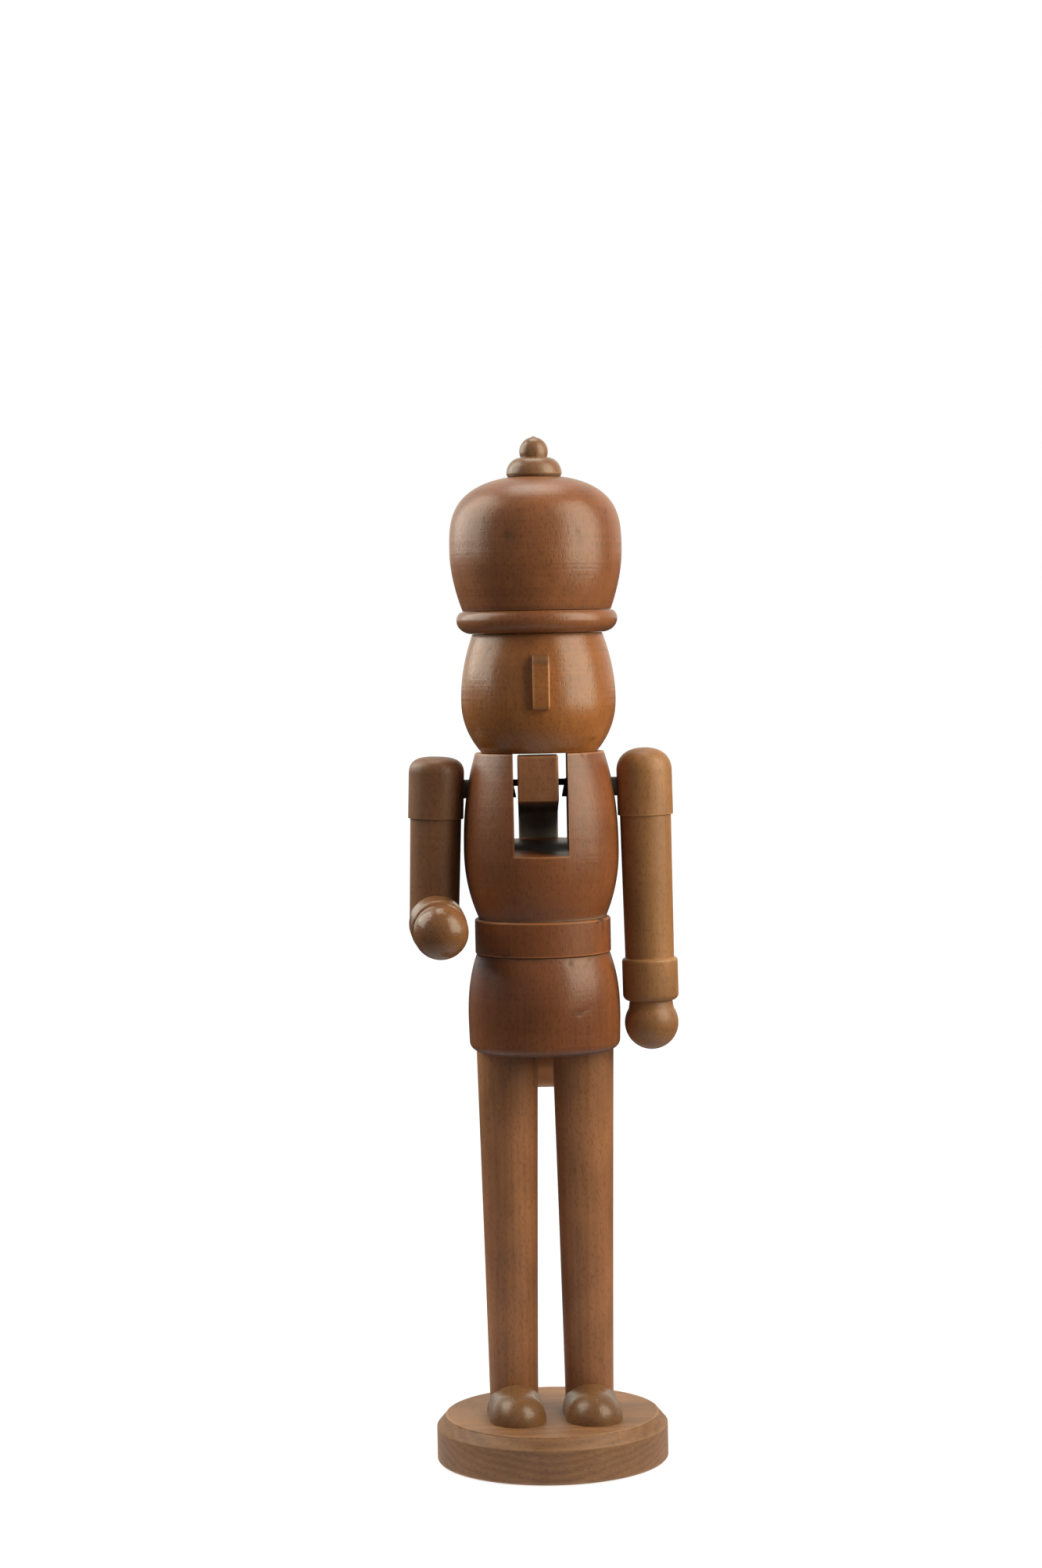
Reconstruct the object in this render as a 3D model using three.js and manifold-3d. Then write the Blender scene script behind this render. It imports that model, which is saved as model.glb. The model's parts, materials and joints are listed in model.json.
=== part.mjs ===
// A free-standing wooden nutcracker: turned hardwood pieces on dowels, with a jaw lever on a steel pin.
// Millimetres. +Z is up, the figure faces -Y, and its own right hand is on the -X side.
// The origin is the centre of the base's underside. Heights inside a piece start at its own foot.

import * as THREE from 'three';
import { mergeVertices } from 'three/addons/utils/BufferGeometryUtils.js';
import Module from 'manifold-3d';

const wasm = await Module();
wasm.setup();

// Base
const baseRadius = 43.25;
const baseHeight = 17;
const baseChamferWidth = 3.3;
const baseChamferHeight = 4.1;
const baseFootEase = 0.6;

// Legs and shoes
const legSpacing = 28.4;
const legSetback = 7;
const legHeight = 136.6;
const legFootRadius = 9.05;
const legTopRadius = 11.5;
const legTaperPower = 1.15;
const legDowelRadius = 4;
const legDowelInBase = 10;
const legDowelInLeg = 14;
const legDowelInSkirt = 12;
const shoeRadius = 10.6;
const shoeReach = 32.3;
const shoeHeel = 4;
const shoeToeLength = 13;
const shoeTurn = THREE.MathUtils.degToRad(4);

// Skirt of the coat and belt
const skirtHeight = 36.1;
const skirtHemRadius = 28.05;
const skirtHemRound = 3.5;
const skirtRadius = 28.3;
const skirtWidestHeight = 12.2;
const skirtTopRadius = 24.8;
const skirtPower = 2.45;
const beltHeight = 13.2;
const beltRadius = 25.25;
const beltEase = 0.5;
const waistDowelRadius = 6;
const waistDowelInSkirt = 14;
const waistDowelInTorso = 14;

// Torso and the slot for the jaw
const torsoHeight = 61.5;
const torsoFootRadius = 23.7;
const torsoRadius = 28.8;
const torsoWidestHeight = 25.1;
const torsoTopRadius = 23.9;
const torsoLowerPower = 2.1;
const torsoUpperPower = 2.3;
const slotWidth = 20;
const slotFloorFront = 24.1;
const slotFloorBack = 27.7;

// Jaw lever and its pin
const leverWidth = 15;
const leverSideShift = 0.8;
const leverEase = 0.7;
const leverOpening = THREE.MathUtils.degToRad(33);
const pinRadius = 1.25;
const pinDrop = 11.7;
const pinWall = 1.3;
const pinRecess = 0.5;
const mouthGap = 0.6;
const jawReach = 22.5;
const jawFaceHeight = 16.8;
const jawCornerRound = 1.2;
const jawTopFall = 0.7;
const jawUndersideFall = 6.3;
const leverCoveRadius = 9;
const tailGap = 0.4;
const tailDepth = 12;
const tailTipDepth = 10.5;
const tailDrop = 118.4;
const tailShoulderRound = 8;

// Head and nose
const headHeight = 44;
const headFootRadius = 21.5;
const headRadius = 28.67;
const headWidestHeight = 19.6;
const headTopRadius = 24.05;
const headLowerPower = 2.25;
const headUpperPower = 2;
const neckDowelRadius = 2.5;
const neckDowelInTorso = 7;
const neckDowelInHead = 10;
const noseWidth = 6.2;
const noseFootHeight = 16.1;
const noseHeight = 20.1;
const noseReach = 2.4;
const noseShoulder = 4.2;
const noseTopReach = 1.9;
const noseSeatDepth = 3.4;
const noseTipRound = 1.6;
const noseEase = 0.6;
const noseTurn = THREE.MathUtils.degToRad(1.8);

// Hat and finial
const brimHeight = 8.3;
const brimRadius = 29.8;
const brimWidestHeight = 5;
const crownFootRadius = 27.4;
const crownRadius = 31.9;
const crownWidestHeight = 21.8;
const crownLowerPower = 1.78;
const crownDomeHeight = 28;
const crownDomePower = 3.2;
const crownDomeSquareness = 2.3;
const hatDowelRadius = 5;
const hatDowelInHead = 12;
const hatDowelInCrown = 14;
const finialFootRadius = 9.7;
const finialCapRadius = 10.27;
const finialCapEdge = 1.2;
const finialCapHeight = 7.2;
const finialBallRadius = 5.3;
const finialBallHeight = 9.4;
const finialTipRadius = 1.3;
const finialTipRise = 0.4;
const finialTenonRadius = 3;
const finialTenonLength = 10;

// Arms, measured down from the shoulder dowel
const shoulderDrop = 13.4;
const shoulderDowelRadius = 3.5;
const shoulderDowelInArm = 3.5;
const shoulderDowelProud = { right: 0.4, left: 1.3 };
const shoulderSawSlant = THREE.MathUtils.degToRad(12);
const capRadius = 10.3;
const capDrop = 10.7;
const capCrownStart = 5.5;
const capCrownRise = { right: 12.3, left: 14.2 };
const capCrownSquareness = { right: 2.9, left: 2.3 };
const sleeveTopRadius = 9.5;
const sleeveFootRadius = 9.1;
const cuffTop = 64;
const cuffLength = 16;
const cuffRadius = 10.37;
const cuffTopRound = 1.2;
const cuffFootRound = 2.4;
const wristRadius = 8.4;
const fistRadius = 10.05;
const fistDrop = 88.3;
const elbowDrop = 47.5;
const elbowDowelRadius = 2.5;
const elbowDowelHalf = 6;
const forearmDroop = THREE.MathUtils.degToRad(2.5);
const forearmTurn = THREE.MathUtils.degToRad(4.8);
const armSplay = { right: THREE.MathUtils.degToRad(2), left: THREE.MathUtils.degToRad(0.7) };

// Clearances
const glueLine = 0.1;
const dowelFit = 0.15;
const dowelEndGap = 0.5;
const coveGap = 0.3;
const runningFit = 0.1;
const armClearance = 0.3;

// Facet counts
const bodyFacets = 40;
const limbFacets = 24;
const pivotFacets = 20;
const dowelFacets = 12;
const ballSteps = 8;
const curveSteps = 6;
const roundSteps = 4;
const edgeSteps = 3;

// Levels of the stacked pieces, and places that follow from the sizes
const skirtZ = baseHeight + legHeight;
const beltZ = skirtZ + skirtHeight;
const torsoZ = beltZ + beltHeight;
const headZ = torsoZ + torsoHeight;
const brimZ = headZ + headHeight;
const crownZ = brimZ + brimHeight;
const crownSeatShare = 1 - (finialFootRadius / crownRadius) ** crownDomeSquareness;
const crownHeight = crownWidestHeight + crownDomeHeight * crownSeatShare ** (1 / crownDomePower);
const finialZ = crownZ + crownHeight;
const shoulderZ = headZ - shoulderDrop;
const pinZ = headZ - pinDrop;
const pinY = shoulderDowelRadius + pinRadius + pinWall;
const neckDowelX = (slotWidth / 2 + torsoTopRadius) / 2;
const tailFrontY = torsoRadius + tailGap;
const sides = { right: -1, left: 1 };

// Finishes: one brown stain that each turning took a little differently, raw dowel ends and plain steel
const finish = (color, roughness, metalness = 0) =>
  new THREE.MeshStandardMaterial({ color, roughness, metalness });
const stain = finish(0x82553a, 0.42);
const warmStain = finish(0x8f5a34, 0.4);
const darkStain = finish(0x6b4632, 0.46);
const rawWood = finish(0x9c8468, 0.75);
const steel = finish(0x55565a, 0.4, 0.9);

// Mesh and boolean helpers
const nutcracker = new THREE.Group();

function addPiece(name, geometry, material, parent = nutcracker) {
  const mesh = new THREE.Mesh(geometry, material);
  mesh.name = name;
  parent.add(mesh);
  return mesh;
}

function solidOf(geometry) {
  const bare = geometry.clone();
  bare.deleteAttribute('normal');
  bare.deleteAttribute('uv');
  const merged = mergeVertices(bare, 1e-4);
  const corners = merged.index.array;
  const triVerts = [];
  for (let i = 0; i < corners.length; i += 3) {
    const [a, b, c] = corners.subarray(i, i + 3);
    if (a !== b && b !== c && c !== a) triVerts.push(a, b, c);
  }
  const vertProperties = merged.attributes.position.array;
  const mesh = new wasm.Mesh({ numProp: 3, vertProperties, triVerts: new Uint32Array(triVerts) });
  return new wasm.Manifold(mesh);
}

function geometryOf(solid) {
  const { vertProperties, triVerts } = solid.getMesh();
  const geometry = new THREE.BufferGeometry();
  geometry.setAttribute('position', new THREE.BufferAttribute(new Float32Array(vertProperties), 3));
  geometry.setIndex(new THREE.BufferAttribute(new Uint32Array(triVerts), 1));
  geometry.computeVertexNormals();
  return geometry;
}

function cut(geometry, tools) {
  const body = tools.reduce((rest, tool) => rest.subtract(solidOf(tool)), solidOf(geometry));
  return geometryOf(body);
}

// Turning helpers: a profile is a list of [radius, height] pairs that runs upwards from the axis
function turned(profile, facets) {
  const points = profile.map(([radius, height]) => new THREE.Vector2(radius, height));
  return new THREE.LatheGeometry(points, facets).rotateX(Math.PI / 2);
}

function steps(count, place) {
  return Array.from({ length: count + 1 }, (_, i) => place(i / count));
}

// The radius falls from its widest by a power of the share of the way to the end
function fallingRadius(widest, end, power, share) {
  return widest - (widest - end) * share ** power;
}

// A barrel side: from its foot up to its widest and on to its top
function barrel({ foot, widest, top, widestHeight, height, lowerPower, upperPower }) {
  const lower = steps(curveSteps, (t) => [
    fallingRadius(widest, foot, lowerPower, 1 - t),
    widestHeight * t,
  ]);
  const upper = steps(curveSteps, (t) => [
    fallingRadius(widest, top, upperPower, t),
    widestHeight + (height - widestHeight) * t,
  ]);
  return [...lower, ...upper.slice(1)];
}

// A quarter or longer arc in a profile, with angles measured from the outward direction
function arc(radius, height, across, up, from, to, count) {
  return steps(count, (t) => {
    const angle = from + (to - from) * t;
    return [radius + across * Math.cos(angle), height + up * Math.sin(angle)];
  });
}

function socket(radius, depth, height = 0) {
  return [
    [0, height + depth],
    [radius, height + depth],
    [radius, height],
  ];
}

const quarter = Math.PI / 2;

function rod(radius, length, facets) {
  return new THREE.CylinderGeometry(radius, radius, length, facets);
}

function uprightBore(radius, x, y, from, to) {
  return rod(radius, to - from, dowelFacets).rotateX(quarter).translate(x, y, (from + to) / 2);
}

function crossBore(radius, y, z, from, to) {
  return rod(radius, to - from, pivotFacets).rotateZ(-quarter).translate((from + to) / 2, y, z);
}

function dowel(radius, length) {
  const ease = radius / 8;
  const profile = [
    [0, 0],
    [radius - ease, 0],
    [radius, ease],
    [radius, length - ease],
    [radius - ease, length],
    [0, length],
  ];
  return turned(profile, dowelFacets);
}

function torsoRadiusAt(height) {
  if (height < torsoWidestHeight) {
    const share = 1 - height / torsoWidestHeight;
    return fallingRadius(torsoRadius, torsoFootRadius, torsoLowerPower, share);
  }
  const share = (height - torsoWidestHeight) / (torsoHeight - torsoWidestHeight);
  return fallingRadius(torsoRadius, torsoTopRadius, torsoUpperPower, share);
}

function makeBase() {
  const top = baseHeight - glueLine;
  const profile = [
    [0, 0],
    [baseRadius - baseFootEase, 0],
    [baseRadius, baseFootEase],
    [baseRadius, top - baseChamferHeight],
    [baseRadius - baseChamferWidth, top],
    [0, top],
  ];
  const bores = Object.values(sides).map((side) =>
    uprightBore(
      legDowelRadius + dowelFit,
      (side * legSpacing) / 2,
      legSetback,
      baseHeight - legDowelInBase - dowelEndGap,
      baseHeight + dowelEndGap,
    ),
  );
  addPiece('base', cut(turned(profile, bodyFacets), bores), stain);
}

function legRadiusAt(share) {
  return legFootRadius + (legTopRadius - legFootRadius) * share ** legTaperPower;
}

// A tapered leg with a dowel socket in each end
function makeLeg(name) {
  const top = legHeight - glueLine;
  const boreRadius = legDowelRadius + dowelFit;
  const boreDepth = legDowelInLeg + dowelEndGap;
  const footBore = socket(boreRadius, boreDepth);
  const taper = steps(roundSteps, (t) => [legRadiusAt(t), top * t]);
  const topBore = socket(boreRadius, -boreDepth, top).reverse();
  const profile = [...footBore, ...taper, ...topBore];
  const leg = addPiece(`leg_${name}`, turned(profile, limbFacets), warmStain);
  leg.position.set((sides[name] * legSpacing) / 2, legSetback, baseHeight);

  const footDowel = addPiece(
    `leg_foot_dowel_${name}`,
    dowel(legDowelRadius, legDowelInBase + legDowelInLeg),
    rawWood,
  );
  footDowel.position.set(leg.position.x, legSetback, baseHeight - legDowelInBase);

  const topDowel = addPiece(
    `leg_top_dowel_${name}`,
    dowel(legDowelRadius, legDowelInLeg + legDowelInSkirt),
    rawWood,
  );
  topDowel.position.set(leg.position.x, legSetback, skirtZ - legDowelInLeg);
}

// Half of a round-nosed turning, laid flat and coved at the heel to fit the leg
function makeShoe(name) {
  const nose = arc(0, shoeReach - shoeToeLength, shoeRadius, shoeToeLength, 0, quarter, curveSteps);
  const wholeTurning = turned([[0, shoeHeel], [shoeRadius, shoeHeel], ...nose], limbFacets);
  wholeTurning.rotateX(quarter);
  const lowerHalf = new THREE.BoxGeometry(4 * shoeRadius, 3 * shoeReach, 2 * shoeRadius);
  lowerHalf.translate(0, 0, -shoeRadius);
  const coveRadius = legRadiusAt(shoeRadius / legHeight) + coveGap;
  const legSpace = rod(coveRadius, 4 * shoeRadius, limbFacets).rotateX(quarter);
  const shoe = addPiece(`shoe_${name}`, cut(wholeTurning, [lowerHalf, legSpace]), stain);
  shoe.position.set((sides[name] * legSpacing) / 2, legSetback, baseHeight);
  shoe.rotation.z = shoeTurn;
}

function makeSkirt() {
  const top = skirtHeight - glueLine;
  const hem = arc(
    skirtHemRadius - skirtHemRound,
    skirtHemRound,
    skirtHemRound,
    skirtHemRound,
    -quarter,
    0,
    roundSteps,
  );
  const upper = steps(curveSteps, (t) => [
    fallingRadius(skirtRadius, skirtTopRadius, skirtPower, t),
    skirtWidestHeight + (top - skirtWidestHeight) * t,
  ]);
  const boreRadius = waistDowelRadius + dowelFit;
  const boreDepth = waistDowelInSkirt + dowelEndGap;
  const profile = [[0, 0], ...hem, ...upper, ...socket(boreRadius, -boreDepth, top).reverse()];
  const bores = Object.values(sides).map((side) =>
    uprightBore(
      legDowelRadius + dowelFit,
      (side * legSpacing) / 2,
      legSetback,
      -dowelEndGap,
      legDowelInSkirt + dowelEndGap,
    ),
  );
  const skirt = addPiece('skirt', cut(turned(profile, bodyFacets), bores), stain);
  skirt.position.z = skirtZ;
}

function makeBelt() {
  const top = beltHeight - glueLine;
  const bore = waistDowelRadius + dowelFit;
  const profile = [
    [bore, 0],
    [beltRadius - beltEase, 0],
    [beltRadius, beltEase],
    [beltRadius, top - beltEase],
    [beltRadius - beltEase, top],
    [bore, top],
    [bore, 0],
  ];
  const belt = addPiece('belt', turned(profile, bodyFacets), darkStain);
  belt.position.z = beltZ;

  const length = waistDowelInSkirt + beltHeight + waistDowelInTorso;
  const waistDowel = addPiece('waist_dowel', dowel(waistDowelRadius, length), rawWood);
  waistDowel.position.z = beltZ - waistDowelInSkirt;
}

// The torso is a barrel sawn down from the top, front to back, for the jaw lever
function makeTorso() {
  const top = torsoHeight - glueLine;
  const side = barrel({
    foot: torsoFootRadius,
    widest: torsoRadius,
    top: torsoTopRadius,
    widestHeight: torsoWidestHeight,
    height: top,
    lowerPower: torsoLowerPower,
    upperPower: torsoUpperPower,
  });
  const waistBore = socket(waistDowelRadius + dowelFit, waistDowelInTorso + dowelEndGap);
  const profile = [...waistBore, ...side, [0, top]];

  const reach = 2 * torsoRadius;
  const floorRise = (slotFloorBack - slotFloorFront) / (2 * torsoRadius);
  const floorMiddle = (slotFloorFront + slotFloorBack) / 2;
  const slotOutline = new THREE.Shape()
    .moveTo(-reach, floorMiddle - floorRise * reach)
    .lineTo(reach, floorMiddle + floorRise * reach)
    .lineTo(reach, 2 * torsoHeight)
    .lineTo(-reach, 2 * torsoHeight);
  const square = { depth: slotWidth, bevelEnabled: false };
  const slot = sideways(new THREE.ExtrudeGeometry(slotOutline, square), slotWidth);

  const shoulderHeight = shoulderZ - torsoZ;
  const shoulderBores = crossBore(shoulderDowelRadius + dowelFit, 0, shoulderHeight, -reach, reach);
  const pinBore = crossBore(pinRadius + runningFit, pinY, pinZ - torsoZ, -reach, reach);
  const neckBores = Object.values(sides).map((x) =>
    uprightBore(
      neckDowelRadius + dowelFit,
      x * neckDowelX,
      0,
      torsoHeight - neckDowelInTorso - dowelEndGap,
      torsoHeight + dowelEndGap,
    ),
  );
  const geometry = cut(turned(profile, bodyFacets), [slot, shoulderBores, pinBore, ...neckBores]);
  addPiece('torso', geometry, warmStain).position.z = torsoZ;
}

// An outline drawn in the Y and Z plane and extruded across X, centred on the figure
function sideways(geometry, width) {
  const axes = new THREE.Matrix4().makeBasis(
    new THREE.Vector3(0, 1, 0),
    new THREE.Vector3(0, 0, 1),
    new THREE.Vector3(1, 0, 0),
  );
  return geometry.applyMatrix4(axes).translate(-width / 2, 0, 0);
}

// The lever in one piece: jaw in front of the pin, arm through the slot, tail down the back.
// Behind the pin its top slopes by the opening angle, so that it swings up flat under the head.
function makeLever() {
  const jawTop = headZ - mouthGap;
  const jawFrontY = -jawReach;
  const jawFootZ = jawTop - jawFaceHeight;
  const topRadius = jawTop - jawTopFall - pinZ;
  const coveTopZ = jawFootZ - jawUndersideFall;
  const tailBackY = tailFrontY + tailDepth;
  const tipRadius = tailTipDepth / 2;
  const tipCentreZ = pinZ - tailDrop + tipRadius;
  const slopeStart = new THREE.Vector2(
    pinY + topRadius * Math.sin(leverOpening),
    pinZ + topRadius * Math.cos(leverOpening),
  );
  const slopeEndZ = slopeStart.y - (tailBackY - slopeStart.x) * Math.tan(leverOpening);
  const roundShare = tailShoulderRound / (tailBackY - slopeStart.x);
  const roundStart = slopeStart.clone().lerp(new THREE.Vector2(tailBackY, slopeEndZ), 1 - roundShare);

  const outline = new THREE.Shape()
    .moveTo(jawFrontY, jawFootZ)
    .lineTo(tailFrontY - leverCoveRadius, coveTopZ)
    .absarc(tailFrontY - leverCoveRadius, coveTopZ - leverCoveRadius, leverCoveRadius, quarter, 0, true)
    .lineTo(tailFrontY, tipCentreZ)
    .absarc(tailFrontY + tipRadius, tipCentreZ, tipRadius, Math.PI, 2 * Math.PI)
    .lineTo(tailBackY, slopeEndZ - tailShoulderRound)
    .quadraticCurveTo(tailBackY, slopeEndZ, roundStart.x, roundStart.y)
    .lineTo(slopeStart.x, slopeStart.y)
    .absarc(pinY, pinZ, topRadius, quarter - leverOpening, quarter)
    .lineTo(jawFrontY + jawCornerRound, jawTop)
    .quadraticCurveTo(jawFrontY, jawTop, jawFrontY, jawTop - jawCornerRound)
    .closePath();
  const bevel = {
    depth: leverWidth - 2 * leverEase,
    bevelEnabled: true,
    bevelThickness: leverEase,
    bevelSize: leverEase,
    bevelOffset: -leverEase,
    bevelSegments: 1,
    curveSegments: curveSteps,
  };
  const blank = sideways(new THREE.ExtrudeGeometry(outline, bevel), leverWidth - 2 * leverEase);
  const pinBore = crossBore(pinRadius + runningFit, pinY, pinZ, -leverWidth, leverWidth);
  const lever = addPiece('jaw_lever', cut(blank, [pinBore]), darkStain);
  lever.position.x = -leverSideShift;

  const flank = Math.sqrt(torsoRadiusAt(pinZ - torsoZ) ** 2 - pinY ** 2);
  const pinLength = 2 * (flank - pinRecess);
  const pin = addPiece('lever_pin', rod(pinRadius, pinLength, pivotFacets).rotateZ(-quarter), steel);
  pin.position.set(0, pinY, pinZ);
}

// The head is a barrel with a flat-bottomed mortise for the nose
function makeHead() {
  const top = headHeight - glueLine;
  const side = barrel({
    foot: headFootRadius,
    widest: headRadius,
    top: headTopRadius,
    widestHeight: headWidestHeight,
    height: top,
    lowerPower: headLowerPower,
    upperPower: headUpperPower,
  });
  const hatBore = socket(hatDowelRadius + dowelFit, -(hatDowelInHead + dowelEndGap), top).reverse();
  const neckBores = Object.values(sides).map((x) =>
    uprightBore(
      neckDowelRadius + dowelFit,
      x * neckDowelX,
      0,
      -dowelEndGap,
      neckDowelInHead + dowelEndGap,
    ),
  );
  const seatY = headRadius - noseSeatDepth;
  const mortise = new THREE.BoxGeometry(
    noseWidth + 2 * dowelFit,
    headRadius,
    noseHeight + 2 * dowelFit,
  ).translate(0, -seatY - headRadius / 2, noseFootHeight + noseHeight / 2).rotateZ(noseTurn);
  const geometry = cut(turned([[0, 0], ...side, ...hatBore], bodyFacets), [mortise, ...neckBores]);
  addPiece('head', geometry, warmStain).position.z = headZ;

  for (const [name, side] of Object.entries(sides)) {
    const neckDowel = addPiece(
      `neck_dowel_${name}`,
      dowel(neckDowelRadius, neckDowelInTorso + neckDowelInHead),
      rawWood,
    );
    neckDowel.position.set(side * neckDowelX, 0, headZ - neckDowelInTorso);
  }
}

// A plain block nose with a rounded brow end, set into the mortise
function makeNose() {
  const backY = -(headRadius - noseSeatDepth + dowelFit);
  const frontY = -(headRadius + noseReach);
  const browY = backY - noseTopReach;
  const outline = new THREE.Shape()
    .moveTo(backY, 0)
    .lineTo(backY, noseHeight)
    .lineTo(browY, noseHeight)
    .quadraticCurveTo(frontY, noseHeight, frontY, noseHeight - noseShoulder)
    .lineTo(frontY, noseTipRound)
    .quadraticCurveTo(frontY, 0, frontY + noseTipRound, 0)
    .closePath();
  const bevel = {
    depth: noseWidth - 2 * noseEase,
    bevelEnabled: true,
    bevelThickness: noseEase,
    bevelSize: noseEase,
    bevelOffset: -noseEase,
    bevelSegments: 2,
    curveSegments: roundSteps,
  };
  const geometry = sideways(new THREE.ExtrudeGeometry(outline, bevel), noseWidth - 2 * noseEase);
  const nose = addPiece('nose', geometry, stain);
  nose.position.z = headZ + noseFootHeight;
  nose.rotation.z = noseTurn;
}

// The brim is a bead whose round meets the head below and the crown above
function makeHat() {
  const bore = hatDowelRadius + dowelFit;
  const brimTop = brimHeight - glueLine;
  const under = arc(
    headTopRadius,
    brimWidestHeight,
    brimRadius - headTopRadius,
    brimWidestHeight,
    -quarter,
    0,
    roundSteps,
  );
  const over = arc(
    crownFootRadius,
    brimWidestHeight,
    brimRadius - crownFootRadius,
    brimTop - brimWidestHeight,
    0,
    quarter,
    roundSteps,
  );
  const ring = [[bore, 0], ...under, ...over.slice(1), [bore, brimTop], [bore, 0]];
  addPiece('hat_brim', turned(ring, bodyFacets), stain).position.z = brimZ;

  const lower = steps(curveSteps, (t) => [
    fallingRadius(crownRadius, crownFootRadius, crownLowerPower, 1 - t),
    crownWidestHeight * t,
  ]);
  const seatHeight = crownHeight - glueLine;
  const seatRise = (seatHeight - crownWidestHeight) / crownDomeHeight;
  const dome = steps(ballSteps, (t) => {
    const rise = seatRise * Math.sin(quarter * t);
    const radius = crownRadius * (1 - rise ** crownDomePower) ** (1 / crownDomeSquareness);
    return [radius, crownWidestHeight + crownDomeHeight * rise];
  });
  const hatBore = socket(bore, hatDowelInCrown + dowelEndGap);
  const tenonBore = socket(
    finialTenonRadius + dowelFit,
    -(finialTenonLength + dowelEndGap),
    seatHeight,
  ).reverse();
  const crown = turned([...hatBore, ...lower, ...dome.slice(1), ...tenonBore], bodyFacets);
  addPiece('hat_crown', crown, stain).position.z = crownZ;

  const length = hatDowelInHead + brimHeight + hatDowelInCrown;
  addPiece('hat_dowel', dowel(hatDowelRadius, length), rawWood).position.z = brimZ - hatDowelInHead;
}

// Mushroom cap and ball in one turning, with a tenon down into the crown
function makeFinial() {
  const neckRadius = Math.sqrt(finialBallRadius ** 2 - (finialBallHeight - finialCapHeight) ** 2);
  const neckAngle = Math.asin((finialCapHeight - finialBallHeight) / finialBallRadius);
  const tipAngle = Math.acos(finialTipRadius / finialBallRadius);
  const cap = arc(
    neckRadius,
    finialCapEdge,
    finialCapRadius - neckRadius,
    finialCapHeight - finialCapEdge,
    0,
    quarter,
    curveSteps,
  );
  const ball = arc(
    0,
    finialBallHeight,
    finialBallRadius,
    finialBallRadius,
    neckAngle,
    tipAngle,
    ballSteps,
  );
  const profile = [
    [0, -finialTenonLength],
    [finialTenonRadius, -finialTenonLength],
    [finialTenonRadius, 0],
    [finialFootRadius, 0],
    ...cap,
    ...ball.slice(1),
    [0, finialBallHeight + finialBallRadius + finialTipRise],
  ];
  addPiece('finial', turned(profile, limbFacets), stain).position.z = finialZ;
}

// Arm turning: heights are negative below the shoulder dowel
function sleeveRadiusAt(drop) {
  const share = (drop - capDrop) / (cuffTop - capDrop);
  return sleeveTopRadius + (sleeveFootRadius - sleeveTopRadius) * share;
}

function handProfile() {
  const cuffFoot = cuffTop + cuffLength;
  const wristRise = Math.sqrt(fistRadius ** 2 - wristRadius ** 2);
  const wristAngle = Math.atan2(wristRise, wristRadius);
  const fist = arc(0, -fistDrop, fistRadius, fistRadius, -quarter, wristAngle, ballSteps);
  const cuffLower = arc(
    cuffRadius - cuffFootRound,
    -cuffFoot + cuffFootRound,
    cuffFootRound,
    cuffFootRound,
    -quarter,
    0,
    edgeSteps,
  );
  const cuffUpper = arc(
    cuffRadius - cuffTopRound,
    -cuffTop - cuffTopRound,
    cuffTopRound,
    cuffTopRound,
    0,
    quarter,
    edgeSteps,
  );
  return [...fist, ...cuffLower, ...cuffUpper, [sleeveFootRadius, -cuffTop]];
}

function capProfile(name) {
  const crown = steps(curveSteps, (t) => {
    const angle = quarter * t;
    const power = 2 / capCrownSquareness[name];
    const rise = (capCrownRise[name] - capCrownStart) * Math.sin(angle) ** power;
    return [capRadius * Math.cos(angle) ** power, capCrownStart + rise];
  });
  crown[curveSteps][0] = 0;
  return [[sleeveTopRadius, -capDrop], [capRadius, -capDrop], ...crown];
}

// The shoulder stands off so that the cap clears the torso and the cuff clears the skirt
function shoulderX(name) {
  const splay = Math.sin(armSplay[name]);
  const byTorso = torsoRadiusAt(shoulderZ - capDrop - torsoZ) + capRadius - capDrop * splay;
  const bySkirt = skirtRadius + Math.max(cuffRadius, fistRadius) - cuffTop * splay;
  return sides[name] * (Math.max(byTorso, bySkirt) + armClearance);
}

function shoulderBore(name) {
  const depth = shoulderDowelInArm + dowelEndGap;
  const inner = sides[name] * -2 * capRadius;
  const outer = sides[name] * depth;
  const bore = crossBore(
    shoulderDowelRadius + runningFit,
    0,
    0,
    Math.min(inner, outer),
    Math.max(inner, outer),
  );
  return bore.rotateY(sides[name] * armSplay[name]);
}

function armGroup(name) {
  const group = new THREE.Group();
  group.position.set(shoulderX(name), 0, shoulderZ);
  group.rotation.y = -sides[name] * armSplay[name];
  nutcracker.add(group);
  return group;
}

function makeStraightArm(name) {
  const blank = turned([...handProfile(), ...capProfile(name)], limbFacets);
  addPiece(`${name}_arm`, cut(blank, [shoulderBore(name)]), stain, armGroup(name));
}

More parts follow.
